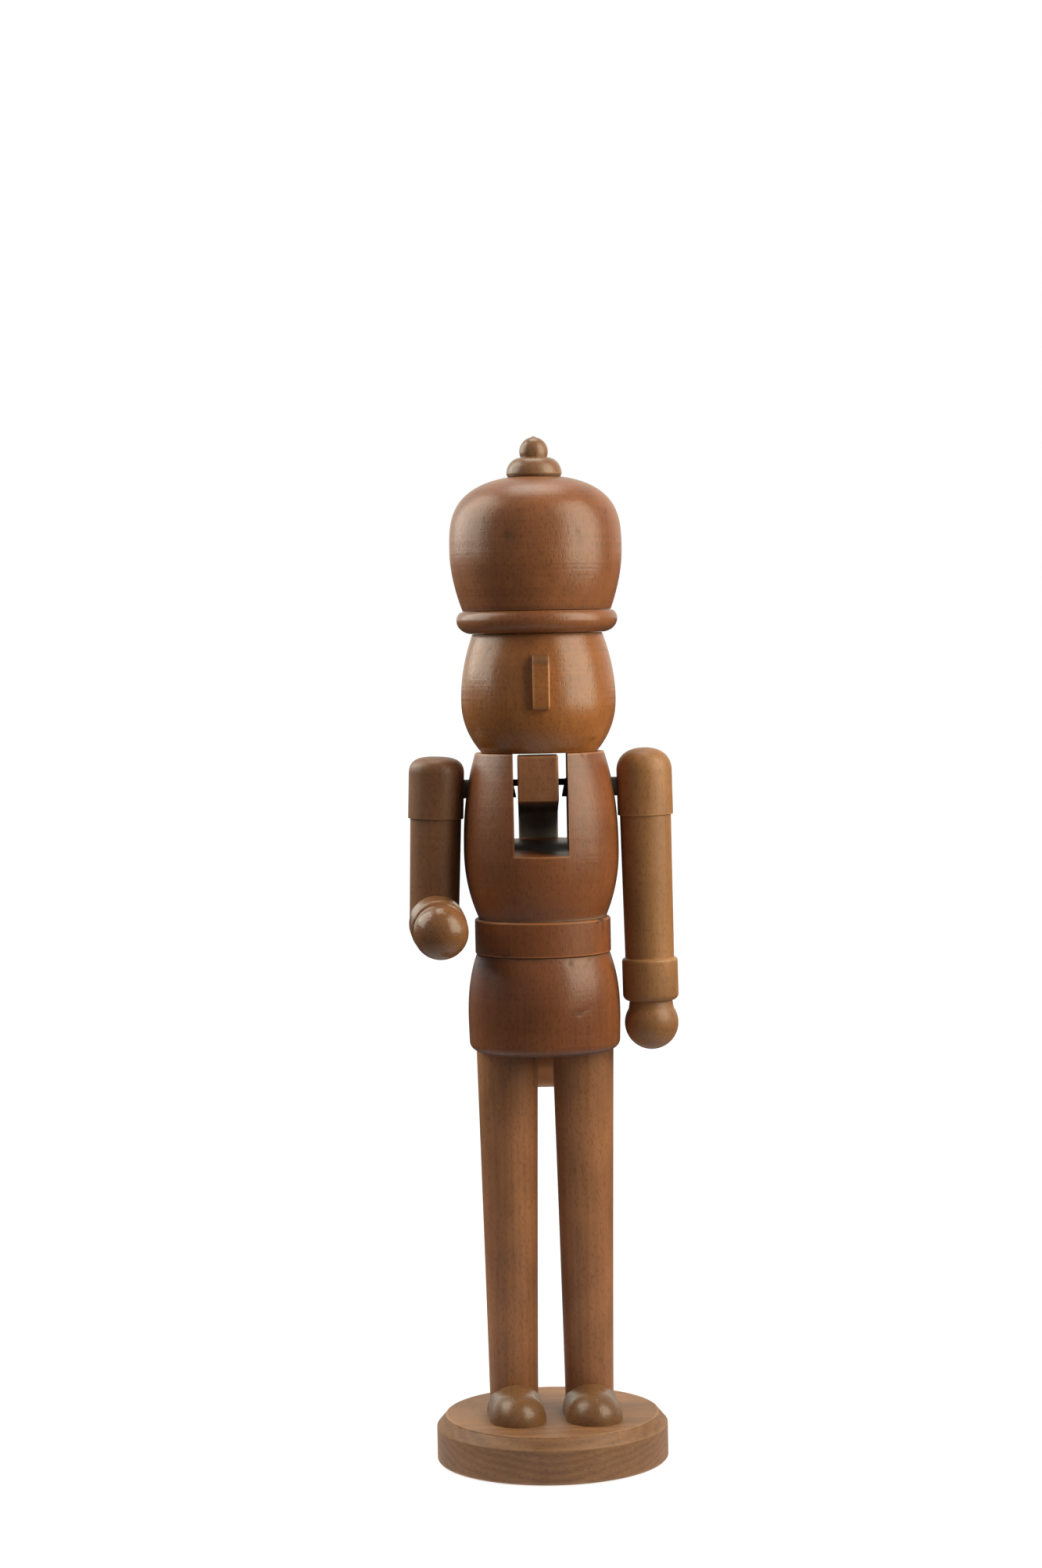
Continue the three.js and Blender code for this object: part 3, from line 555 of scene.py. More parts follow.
def calc(tree, operation, *values, clamp=False):
    """A sum on values, and its result."""
    node = put(tree, "ShaderNodeMath", dict(enumerate(values)), operation=operation, use_clamp=clamp)
    return node.outputs[0]


def ramp(tree, value, low, high, to_low=0.0, to_high=1.0):
    """A value stretched from one range to another, and held at its ends."""
    inputs = {"Value": value, "From Min": low, "From Max": high, "To Min": to_low, "To Max": to_high}
    return put(tree, "ShaderNodeMapRange", inputs).outputs[0]


def mixed(tree, share, first, last):
    """Two colours mixed by a share."""
    return put(tree, "ShaderNodeMix", {0: share, 6: first, 7: last}, data_type="RGBA").outputs[2]


def stretched_noise(tree, vector, per_metre, detail):
    """Noise from 0 to 1 whose grains have a count per metre along each axis."""
    scaled = put(tree, "ShaderNodeVectorMath", {0: vector, 1: per_metre}, operation="MULTIPLY").outputs[0]
    inputs = {"Vector": scaled, "Scale": 1.0, "Detail": detail, "Roughness": 0.55}
    return put(tree, "ShaderNodeTexNoise", inputs).outputs[0]


def new_material(name):
    """An empty node material, and its tree."""
    material = bpy.data.materials.new(name)
    material.use_nodes = True
    material.node_tree.nodes.clear()
    return material, material.node_tree


def show(tree, shader, output="ShaderNodeOutputMaterial"):
    """Links a shader to the tree's output."""
    tree.links.new(shader.outputs[0], put(tree, output).inputs["Surface"])


RING_PITCH = 2.7 * MM
PITH = (0.046, 0.083)
CORNER_DIRT = (0.035, 0.022, 0.014, 1.0)
ALONG_X = (0.0, QUARTER, 0.0)
ALONG_Y = (QUARTER, 0.0, 0.0)
# Flat grey for the painted shade inside the jaw's slot.
SLOT_SHADE_GREY = (0.29, 0.29, 0.255, 1.0)


def stained_wood_group():
    """Stained wood with its grain along Z. Streaks and fibres are noise drawn out along the grain, growth
    rings are waves of the distance from a pith, flecks are short dark dashes, blotches are slow noise,
    and tool lines are noise drawn out across the grain. The pale edge mark shows pale wood, for edge wear and
    for painted highlight on edges and painted light on the lever's tip. The darkening mark turns the wood to
    its grime colour, for dirt in dents and seams and for painted shade inside the slot."""
    tree = bpy.data.node_groups.new("stained_wood", "ShaderNodeTree")
    colour, number = "NodeSocketColor", "NodeSocketFloat"
    wanted = {
        "Vector": "NodeSocketVector", "Stain": colour, "Deep": colour, "Pale": colour, "Wear": number,
        "Soot": number, "Grime": colour, "Figure": number, "Rings": number, "Tool Lines": number,
        "Dullness": number,
    }
    made = {"Color": colour, "Roughness": number, "Height": number}
    for way, sockets in (("INPUT", wanted), ("OUTPUT", made)):
        for name, kind in sockets.items():
            tree.interface.new_socket(name=name, in_out=way, socket_type=kind)
    given = tree.nodes.new("NodeGroupInput").outputs
    result = tree.nodes.new("NodeGroupOutput").inputs
    vector = given["Vector"]

    streak = stretched_noise(tree, vector, (620.0, 620.0, 18.0), 4.0)
    fibre = stretched_noise(tree, vector, (2600.0, 2600.0, 110.0), 3.0)
    dash = stretched_noise(tree, vector, (1300.0, 1300.0, 620.0), 1.0)
    fleck = ramp(tree, dash, 0.54, 0.7)
    blotch = stretched_noise(tree, vector, (52.0, 52.0, 34.0), 3.0)
    patch = stretched_noise(tree, vector, (30.0, 30.0, 120.0), 2.0)
    swell = stretched_noise(tree, vector, (170.0, 170.0, 90.0), 2.0)
    warp = stretched_noise(tree, vector, (70.0, 70.0, 9.0), 2.0)

    place = put(tree, "ShaderNodeSeparateXYZ", {0: vector}).outputs
    from_pith_x = calc(tree, "SUBTRACT", place[0], PITH[0])
    from_pith_y = calc(tree, "SUBTRACT", place[1], PITH[1])
    squared_x = calc(tree, "MULTIPLY", from_pith_x, from_pith_x)
    squared_y = calc(tree, "MULTIPLY", from_pith_y, from_pith_y)
    distance = calc(tree, "SQRT", calc(tree, "ADD", squared_x, squared_y))
    phase = calc(tree, "MULTIPLY_ADD", distance, 2 * math.pi / RING_PITCH, calc(tree, "MULTIPLY", warp, 16.0))
    ring = calc(tree, "SINE", phase)
    scratch = stretched_noise(tree, vector, (9.0, 9.0, 780.0), 2.0)
    shown = ramp(tree, patch, 0.36, 0.58, 0.25, 1.0)
    tool = calc(tree, "MULTIPLY", calc(tree, "MULTIPLY_ADD", scratch, 3.0, -1.5), shown)
    tool = calc(tree, "MULTIPLY", tool, given["Tool Lines"])

    figure = calc(tree, "MULTIPLY_ADD", fibre, 0.2, calc(tree, "MULTIPLY_ADD", streak, 0.3, -0.25))
    tone = calc(tree, "MULTIPLY_ADD", figure, given["Figure"], 0.7)
    tone = calc(tree, "MULTIPLY_ADD", calc(tree, "MULTIPLY", ring, given["Rings"]), 0.035, tone)
    tone = calc(tree, "MULTIPLY_ADD", calc(tree, "SUBTRACT", blotch, 0.5), 1.3, tone)
    tone = calc(tree, "MULTIPLY_ADD", tool, 0.11, tone, clamp=True)
    stained = mixed(tree, tone, given["Deep"], given["Stain"])
    flecked = mixed(tree, calc(tree, "MULTIPLY", fleck, 0.45), stained, given["Deep"])
    # Pales the wood: edge wear and painted highlight on rounded edges, and painted light on the lever's tip.
    rubbed_and_lit = calc(tree, "MULTIPLY", given["Wear"], ramp(tree, patch, 0.36, 0.6, 0.25, 0.85))
    worn_and_lit = mixed(tree, rubbed_and_lit, flecked, given["Pale"])
    # Mixes towards the grime colour: dirt in dents and seams, and painted shade inside the slot.
    dirtied_and_shaded = mixed(tree, given["Soot"], worn_and_lit, given["Grime"])
    feed(tree, result["Color"], dirtied_and_shaded)

    satin = calc(tree, "MULTIPLY_ADD", fibre, 0.24, calc(tree, "SUBTRACT", given["Dullness"], 0.12))
    satin = calc(tree, "MULTIPLY_ADD", blotch, 0.2, calc(tree, "SUBTRACT", satin, 0.1))
    satin = calc(tree, "MULTIPLY_ADD", given["Soot"], 0.4, satin)
    feed(tree, result["Roughness"], satin)
    pores = calc(tree, "MULTIPLY_ADD", fleck, -0.7, calc(tree, "MULTIPLY", fibre, 0.5))
    ripple = calc(tree, "MULTIPLY_ADD", swell, 2.2, calc(tree, "MULTIPLY_ADD", tool, 0.35, pores))
    feed(tree, result["Height"], ripple)
    return tree


def settings():
    """The figure's settings."""
    return bpy.context.scene.nutcracker


def shaded(colour, factors):
    """A colour with each channel multiplied."""
    return (*[channel * factor for channel, factor in zip(colour, factors)], 1.0)


def wood(name, stain, grain=(0.0, 0.0, 0.0), shift=(0.0, 0.0, 0.0),
         figure=1.0, rings=1.0, tool=1.0, dull=0.0, grime_and_shade=CORNER_DIRT):
    """A stained and varnished wood. grain turns the pattern so that its Z runs along the piece, and shift
    moves it, so that no two pieces show the same figure. dull is added to the varnish's roughness."""
    material, tree = new_material(name)
    group = bpy.data.node_groups.get("stained_wood") or stained_wood_group()
    place = put(tree, "ShaderNodeTexCoord").outputs["Object"]
    moves = {"Vector": place, "Rotation": grain, "Location": shift}
    turned = put(tree, "ShaderNodeMapping", moves).outputs[0]
    # The pale edge mark: wear, painted highlight on rounded edges, and painted light on the lever's tip.
    wear_and_light = put(tree, "ShaderNodeAttribute", attribute_name="edge_wear").outputs["Fac"]
    # The darkening mark: dirt in dents and seams, and painted shade inside the jaw's slot.
    soot = put(tree, "ShaderNodeAttribute", attribute_name="soot").outputs["Fac"]
    finish = put(tree, "ShaderNodeGroup", {
        "Vector": turned,
        "Stain": (*stain, 1.0),
        "Deep": shaded(stain, (0.40, 0.38, 0.40)),
        "Pale": shaded(stain, (1.75, 2.2, 2.6)),
        "Wear": wear_and_light,
        "Soot": soot,
        "Grime": grime_and_shade,
        "Figure": figure,
        "Rings": rings,
        "Tool Lines": tool,
        "Dullness": settings().finish.roughness + dull,
    }, node_tree=group)
    height = finish.outputs["Height"]
    bump = put(tree, "ShaderNodeBump", {"Height": height, "Strength": 0.16, "Distance": 0.25 * MM})
    surface = put(tree, "ShaderNodeBsdfPrincipled", {
        "Base Color": finish.outputs["Color"],
        "Roughness": finish.outputs["Roughness"],
        "Normal": bump.outputs[0],
        "IOR": 1.5,
    })
    show(tree, surface)
    return material


def wire(name, colour):
    """Dull drawn steel: fine lines along X in roughness and height, and darker spots."""
    material, tree = new_material(name)
    place = put(tree, "ShaderNodeTexCoord").outputs["Object"]
    line = stretched_noise(tree, place, (90.0, 5200.0, 5200.0), 3.0)
    spot = stretched_noise(tree, place, (900.0, 900.0, 900.0), 2.0)
    colours = mixed(tree, ramp(tree, spot, 0.45, 0.7), (*colour, 1.0), shaded(colour, (0.5, 0.42, 0.36)))
    bump = put(tree, "ShaderNodeBump", {"Height": line, "Strength": 0.3, "Distance": 0.05 * MM})
    surface = put(tree, "ShaderNodeBsdfPrincipled", {
        "Base Color": colours,
        "Roughness": ramp(tree, line, 0.3, 0.7, 0.32, 0.55),
        "Normal": bump.outputs[0],
        "Metallic": 0.9,
    })
    show(tree, surface)
    return material


# Operators, one for each piece or group of like pieces

class NUTCRACKER_OT_base(bpy.types.Operator):
    """The round base: a disc with an eased foot and a chamfer below a small cutter's step"""

    bl_idname = "nutcracker.make_base"
    bl_label = "Base"

    def execute(self, context):
        sizes = settings().stand
        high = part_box("base")[1]
        radius, top = high.x, high.z
        inner = radius - sizes.base_chamfer_width
        step = sizes.base_step
        corners = [
            (0, 0), (radius - sizes.base_foot_ease, 0), (radius, sizes.base_foot_ease),
            (radius, top - sizes.base_chamfer_height), (inner + step, top - 2 * step),
            (inner, top - step), (inner, top), (0, top),
        ]
        material = wood("base_stain", settings().finish.stand, grain=ALONG_X, shift=(0.131, 0.078, 0.0),
                        figure=1.5, rings=4.0, tool=0.0, dull=0.22)
        grid = lathe(softened(corners, reach=0.35 * MM, count=84), segments=256)
        dress(add_piece("base_disc", [grid]), "base", material, wear_and_light=0.5)
        return {"FINISHED"}


def leg_place(name):
    """The middle of a leg's foot."""
    low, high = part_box(f"leg_{name}")
    middle = (low + high) / 2
    return [middle.x, middle.y, low.z]


class NUTCRACKER_OT_legs(bpy.types.Operator):
    """Two tapered legs, each widening upwards by a power of the height"""

    bl_idname = "nutcracker.make_legs"
    bl_label = "Legs"

    def execute(self, context):
        sizes = settings().stand
        for name, side in SIDES.items():
            low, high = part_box(f"leg_{name}")
            share = np.linspace(0, 1, 40)
            taper = -falling(-sizes.leg_foot_radius, -(high.x - low.x) / 2, sizes.leg_power, share)
            height = high.z - low.z
            profile = joined((0, 0), path(taper, share * height), (0, height))
            grid = lathe(softened(profile, reach=0.5 * MM, count=72), segments=128) + leg_place(name)
            material = wood(f"leg_{name}_stain", settings().finish.trousers, shift=(side * 0.11, 0.02, 0.3),
                            figure=1.5, rings=2.0, tool=0.4, dull=0.2)
            dress(add_piece(f"leg_turning_{name}", [grid]), f"leg_{name}", material)
        return {"FINISHED"}


class NUTCRACKER_OT_shoes(bpy.types.Operator):
    """Two half-round shoes with domed toes, laid flat and hollowed at the heel to fit the legs"""

    bl_idname = "nutcracker.make_shoes"
    bl_label = "Shoes"

    def execute(self, context):
        sizes = settings().stand
        cove = sizes.leg_foot_radius + 2 * sizes.shoe_cove_gap
        over = np.linspace(0, np.pi, 73)
        start = np.sqrt(np.maximum(cove ** 2 - (sizes.shoe_radius * np.cos(over)) ** 2, 0))
        start = np.maximum(start, sizes.shoe_heel)
        straight = sizes.shoe_reach - sizes.shoe_toe
        share = np.linspace(0, 1, 24)[:, None]
        curl = np.linspace(0, QUARTER, 40)[1:, None]
        toe = straight + sizes.shoe_toe * np.sin(curl) + 0 * over
        along = joined(start + (straight - start) * share, toe)
        radius = sizes.shoe_radius * joined(np.ones_like(share), np.cos(curl))
        top = np.stack([radius * np.cos(over), -along, radius * np.sin(over)], axis=-1)
        sole = top * [1, 1, 0]
        heel = ruled(sole[0], top[0], 14)
        for name, side in SIDES.items():
            grids = [spun(grid, "Z", sizes.shoe_turn) + leg_place(name) for grid in (top, sole, heel)]
            piece = add_piece(f"shoe_round_{name}", grids)
            ease_edges(piece, width=0.4 * MM)
            material = wood(f"shoe_{name}_stain", settings().finish.shoes, grain=ALONG_Y,
                            shift=(side * 0.05, 0.0, 0.1), tool=0.3)
            dress(piece, f"shoe_{name}", material, wear_and_light=0.5)
        return {"FINISHED"}


class NUTCRACKER_OT_skirt(bpy.types.Operator):
    """The coat's skirt: a rounded hem, an upright side and a top that draws in by a power"""

    bl_idname = "nutcracker.make_skirt"
    bl_label = "Skirt"

    def execute(self, context):
        sizes = settings().coat
        low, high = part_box("skirt")
        top, widest = high.z - low.z, high.x
        round_off = sizes.hem_round
        hem = arc(sizes.hem_radius - round_off, round_off, round_off, round_off, -QUARTER, 0)
        share = np.linspace(0, 1, 60)
        radius = falling(widest, sizes.skirt_top_radius, sizes.skirt_power, share)
        height = sizes.skirt_widest_height + (top - sizes.skirt_widest_height) * share
        profile = joined((0, 0), hem, path(radius, height), (0, top))
        dents = [
            (22.2, 187.5, 0.9, 0.8, 0.0, 0.3),
            (42.6, 188.6, 1.1, 0.6, 0.3, 0.2),
            (28.5, 169.8, 3.6, 0.45, 0.28, 0.24),
            (8.4, 162.5, 0.8, 0.8, 0.0, 0.22),
            (32.9, 161.2, 1.0, 0.7, 0.2, 0.2),
            (37.0, 186.2, 1.3, 0.5, 0.5, 0.16),
        ]
        material = wood("skirt_stain", settings().finish.coat, shift=(0.2, 0.13, 0.05), tool=1.2, dull=0.05)
        turned_piece("skirt_turning", "skirt", softened(profile, reach=0.45 * MM, count=130), material,
                     segments=224, foot=low.z, dents=dents, seams=[low.z, low.z + SEAM_REACH, high.z])
        return {"FINISHED"}


class NUTCRACKER_OT_belt(bpy.types.Operator):
    """The belt: a plain turned ring with crisp edges, chipped at its top on the left"""

    bl_idname = "nutcracker.make_belt"
    bl_label = "Belt"

    def execute(self, context):
        low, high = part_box("belt")
        top, radius = high.z - low.z, high.x
        ease = settings().coat.belt_ease
        profile = [
            (0, 0), (radius - ease, 0), (radius, ease), (radius, top - ease), (radius - ease, top), (0, top),
        ]
        dents = [
            (59.6, 202.9, 1.8, 1.0, -0.2, 0.9),
            (62.1, 199.6, 0.6, 1.6, 0.0, 0.35),
            (54.0, 201.6, 0.7, 0.7, 0.0, 0.3),
            (21.7, 195.1, 0.4, 1.5, 0.0, 0.16),
            (-34.0, 190.4, 2.0, 0.5, 0.0, 0.25),
        ]
        material = wood("belt_stain", settings().finish.belt, shift=(0.31, 0.05, 0.12), tool=1.0, dull=0.2)
        turned_piece("belt_ring", "belt", softened(profile, reach=0.3 * MM, count=100), material,
                     segments=256, foot=low.z, dents=dents)
        return {"FINISHED"}


class NUTCRACKER_OT_torso(bpy.types.Operator):
    """The torso: a barrel whose columns follow the slot's edges, with the slot's floor and walls ruled
    between its front and back edges"""

    bl_idname = "nutcracker.make_torso"
    bl_label = "Torso"

    gap_columns = 36
    cheek_columns = 96
    low_rows = 34
    high_rows = 44
    # Painted shade in the slot starts this far behind its sill and edges, and deepens over this reach.
    shade_start = 11 * MM
    shade_reach = 16 * MM
    nicks = [
        (41.7, 264.4, 0.9, 0.9, 0.0, 0.35),
        (-38.0, 240.0, 0.5, 1.2, 0.2, 0.12),
        (36.0, 246.0, 0.8, 0.5, 0.4, 0.12),
    ]

    def outer_points(self, share, section, sizes, low, high):
        """Points of the barrel. share runs across one of the four sections: front gap, left cheek, back gap
        and right cheek. Returns the rows below the slot's floor and the rows above it."""
        top, widest = high.z - low.z, high.x
        half = sizes.slot_width / 2

        def turn_at(radius):
            edge = np.arcsin(half / radius)
            ends = [-edge, edge, np.pi - edge, np.pi + edge, 2 * np.pi - edge]
            return ends[section] + (ends[section + 1] - ends[section]) * share

        back_share = (1 - np.cos(turn_at(np.full_like(share, widest)))) / 2
        floor = sizes.slot_front + (sizes.slot_back - sizes.slot_front) * back_share
        below = np.linspace(0, 1, self.low_rows)[:, None] * floor
        above = floor + np.linspace(0, 1, self.high_rows)[:, None] * (top - floor)
        grids = []
        for height in (below, above):
            radius = barrel_radius(
                height, sizes.torso_foot_radius, widest, sizes.torso_top_radius,
                sizes.torso_widest_height, top, sizes.torso_lower_power, sizes.torso_upper_power,
            )
            grids.append(ring_points(radius, turn_at(radius), height + low.z))
        return grids

    def execute(self, context):
        sizes = settings().coat
        low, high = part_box("torso")
        gap = np.linspace(0, 1, self.gap_columns + 1)
        cheek = np.linspace(0, 1, self.cheek_columns + 1)
        sections = [self.outer_points(share, number, sizes, low, high)
                    for number, share in enumerate((gap, cheek, gap, cheek))]
        whole = np.concatenate([below[:, :-1] for below, _ in sections], axis=1)
        whole = np.concatenate([whole, whole[:, :1]], axis=1)
        grids = [whole, capped(whole[0])]
        grids.append(ruled(sections[0][0][-1], sections[2][0][-1][::-1], self.cheek_columns + 1))
        for number in (1, 3):
            above = dented(sections[number][1], self.nicks)
            wall = ruled(above[:, 0], above[:, -1], self.cheek_columns + 1)
            grids += [above, wall, ruled(above[-1], wall[:, -1], 12)]
        piece = add_piece("torso_turning", grids)
        ease_edges(piece, sizes.slot_ease)
        half = sizes.slot_width / 2
        sill = low.z + sizes.slot_front
        margin = 0.1 * MM
        seam = dirt((), [low.z])

        def soot(places):
            """Painted shade: grey inside the slot from a way behind its sill and edges, where the slot lies in
            shade; and dirt along the seam on the belt.
            """
            reach = np.sqrt(np.maximum(high.x ** 2 - places[:, 0] ** 2, 0))
            depth = np.minimum(places[:, 1] + reach, reach - places[:, 1])
            inside = (np.abs(places[:, 0]) < half + margin) & (places[:, 2] > sill - margin)
            shade = np.clip((depth - self.shade_start) / self.shade_reach, 0, 0.85)
            return np.maximum(seam(places), inside * shade)

        material = wood("torso_stain", settings().finish.coat, shift=(0.02, 0.3, 0.2), tool=1.6, dull=0.09,
                        grime_and_shade=SLOT_SHADE_GREY)
        dress(piece, "torso", material, soot)
        return {"FINISHED"}


class NUTCRACKER_OT_lever(bpy.types.Operator):
    """The jaw lever: one outline carried across, with a jaw, a slope at its opening angle, a cove and a tail"""

    bl_idname = "nutcracker.make_lever"
    bl_label = "Jaw lever"

    def execute(self, context):
        sizes = settings().jaw
        low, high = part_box("jaw_lever")
        pin_y, pin_z = JOINTS["jaw_hinge"]["pos_m"][1:]
        tail_front = high.y - sizes.tail_depth
        jaw_foot = high.z - sizes.face_height
        cove_top = jaw_foot - sizes.underside_fall
        top_radius = high.z - sizes.top_fall - pin_z
        slope_y = pin_y + top_radius * math.sin(sizes.opening)
        slope_z = pin_z + top_radius * math.cos(sizes.opening)
        slope_end = slope_z - (high.y - slope_y) * math.tan(sizes.opening)
        back = np.array([high.y, slope_end])
        round_start = back + (np.array([slope_y, slope_z]) - back) * sizes.shoulder_round / (high.y - slope_y)
        shoulder = drawn_to(back, back - [0, sizes.shoulder_round], round_start)
        tip, corner = sizes.tip_depth / 2, sizes.corner_round
        outline = joined(
            (low.y, jaw_foot),
            arc(tail_front - sizes.cove, cove_top - sizes.cove, sizes.cove, sizes.cove, QUARTER, 0),
            arc(tail_front + tip, low.z + tip, tip, tip, math.pi, 2 * math.pi, 40),
            shoulder,
            arc(pin_y, pin_z, top_radius, top_radius, QUARTER - sizes.opening, QUARTER),
            arc(low.y + corner, high.z - corner, corner, corner, QUARTER, math.pi),
        )
        outline = softened(outline, reach=0.8 * MM, count=300, closed=True)
        grid, loops = slab(outline, high.x - low.x, sizes.lever_ease)
        middle = [(low.x + high.x) / 2, 0, 0]
        piece = add_piece("jaw_lever_board", [grid + middle], [loop + middle for loop in loops])

        belt_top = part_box("belt")[1].z
        margin = 1 * MM
        # The tail's tip is painted pale over this length, part wear and part painted light.
        pale_tip_length, pale_tip_fade = 11 * MM, 4 * MM

        def soot(places):
            """Painted shade under the jaw and on the tail's front, inside the slot, in the slot's grey shade
            tone. It fades in over 3 mm below the jaw's foot, 10 mm behind its face and 20 mm above the belt."""
            under = np.clip((jaw_foot + margin / 2 - places[:, 2]) / (3 * MM), 0, 1)
            inside = np.clip((places[:, 1] - low.y - margin) / (10 * MM), 0, 1)
            above = np.clip((places[:, 2] - belt_top) / (20 * MM), 0, 1)
            front = places[:, 1] < tail_front + margin
            return 0.92 * under * inside * above * front

        def rubbed_and_lit(places):
            """Pale at the tail's tip: wear where fingers lift it, and painted light standing in for the light
            that reaches the tip below the skirt.
            """
            return 1.8 * np.clip((low.z + pale_tip_length - places[:, 2]) / pale_tip_fade, 0, 1)

        material = wood("lever_stain", settings().finish.lever, shift=(0.07, 0.21, 0.15), tool=0.0, dull=0.15,
                        grime_and_shade=SLOT_SHADE_GREY)
        dress(piece, "jaw_lever", material, soot, rubbed_and_lit=rubbed_and_lit)
        return {"FINISHED"}


class NUTCRACKER_OT_rods(bpy.types.Operator):
    """The steel pin and the shoulder dowels: rods along X with eased ends, the dowels sawn aslant inside"""

    bl_idname = "nutcracker.make_rods"
    bl_label = "Pin and dowels"

    def rod(self, name, node, material, slants):
        """A round bar that fills the node's box. Each end's slant leans it along the height."""
        low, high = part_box(node)
        radius = (high.z - low.z) / 2
        length = high.x - low.x
        profile = [(0, 0), (radius, 0), (radius, length), (0, length)]
        grid = lathe(softened(profile, reach=radius / 8, count=48), segments=64)
        start, end = (radius * math.tan(slant) for slant in slants)
        share = grid[..., 2] / length
        lean = grid[..., 0] / radius
        along = low.x + grid[..., 2] + (1 - share) * start * (1 + lean) - share * end * (1 + lean)
        middle = (low + high) / 2
        points = np.stack([along, middle.y - grid[..., 1], middle.z + grid[..., 0]], axis=-1)
        dress(add_piece(name, [points]), node, material)

    def execute(self, context):
        slant = settings().jaw.dowel_slant
        finish = settings().finish
        self.rod("pin_wire", "lever_pin", wire("pin_steel", finish.wire), (0.0, 0.0))
        for name, side in SIDES.items():
            # The shoulder dowels' bare wood is darkened to a quarter: painted shade for the shaded gap between
            # each arm and the torso.
            material = wood(f"dowel_{name}_bare", shaded(finish.bare, (0.25, 0.24, 0.24))[:3],
                            grain=ALONG_X, shift=(side * 0.2, 0.1, 0.0), tool=0.0, dull=0.3)
            slants = (slant, 0.0) if side > 0 else (0.0, slant)
            self.rod(f"shoulder_rod_{name}", f"shoulder_dowel_{name}", material, slants)
        return {"FINISHED"}


class NUTCRACKER_OT_inner_dowels(bpy.types.Operator):
    """Bare wood for the dowels that are hidden in the joints"""

    bl_idname = "nutcracker.finish_inner_dowels"
    bl_label = "Inner dowels"

    def execute(self, context):
        bare = wood("bare_dowel", settings().finish.bare, shift=(0.4, 0.1, 0.0), tool=0.0, dull=0.35)
        shown = {name for name in SLOTS if name.startswith("shoulder_dowel")}
        for name, slot in SLOTS.items():
            if slot == "raw_dowel" and name not in shown:
                mesh = frame["nodes"][name].data
                mesh.materials.clear()
                mesh.materials.append(bare)
        return {"FINISHED"}


class NUTCRACKER_OT_head(bpy.types.Operator):
    """The head: a barrel that falls by powers from its widest place"""

    bl_idname = "nutcracker.make_head"
    bl_label = "Head"

    def execute(self, context):
        sizes = settings().head
        low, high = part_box("head")
        top = high.z - low.z
        height = np.linspace(0, top, 120)
        radius = barrel_radius(
            height, sizes.head_foot_radius, high.x, sizes.head_top_radius, sizes.head_widest_height, top,
            sizes.head_lower_power, sizes.head_upper_power,
        )
        profile = joined((0, 0), path(radius, height), (0, top))
        dents = [
            (-40.5, 302.9, 1.6, 0.5, -0.3, 0.18),
            (-44.0, 301.6, 0.8, 0.5, 0.0, 0.14),
            (52.0, 268.9, 1.2, 0.7, 0.2, 0.25),
        ]
        material = wood("head_stain", settings().finish.face, shift=(0.12, 0.02, 0.33), tool=1.8, dull=-0.03)
        turned_piece("head_turning", "head", softened(profile, reach=0.4 * MM, count=130), material,
                     segments=224, foot=low.z, dents=dents, seams=[high.z])
        return {"FINISHED"}


class NUTCRACKER_OT_nose(bpy.types.Operator):
    """The nose: a block with a round brow and a round lower end, set into the head"""

    bl_idname = "nutcracker.make_nose"
    bl_label = "Nose"

    def execute(self, context):
        sizes = settings().head
        low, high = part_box("nose")
        tall = high.z - low.z
        front = -(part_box("head")[1].x + sizes.nose_reach)
        back = front + sizes.nose_depth
        brow = back - sizes.nose_brow
        over = drawn_to((front, tall), (brow, tall), (front, tall - sizes.nose_shoulder))
        tip = sizes.nose_tip
        foot = arc(front + tip, tip, tip, tip, math.pi, 1.5 * math.pi)
        outline = joined((back, 0), (back, tall), over, foot)
        outline = softened(outline, reach=0.7 * MM, count=150, closed=True)
        grid, loops = slab(outline, sizes.nose_width, sizes.nose_ease)
        lift = [0, 0, low.z]
        grids = [spun(grid + lift, "Z", sizes.nose_turn)]
        fills = [spun(loop + lift, "Z", sizes.nose_turn) for loop in loops]
        material = wood("nose_stain", settings().finish.face, grain=ALONG_X, shift=(0.15, 0.07, 0.02),
                        tool=0.0, dull=0.04)
        brow_foot, fade = high.z - sizes.nose_shoulder, 1.2 * MM

        def soot(places):
            """Dark on the brow, above the front's straight part."""
            return 0.5 * np.clip((places[:, 2] - brow_foot) / fade, 0, 1)

        dress(add_piece("nose_block", grids, fills), "nose", material, soot, wear_and_light=0.8)
        return {"FINISHED"}


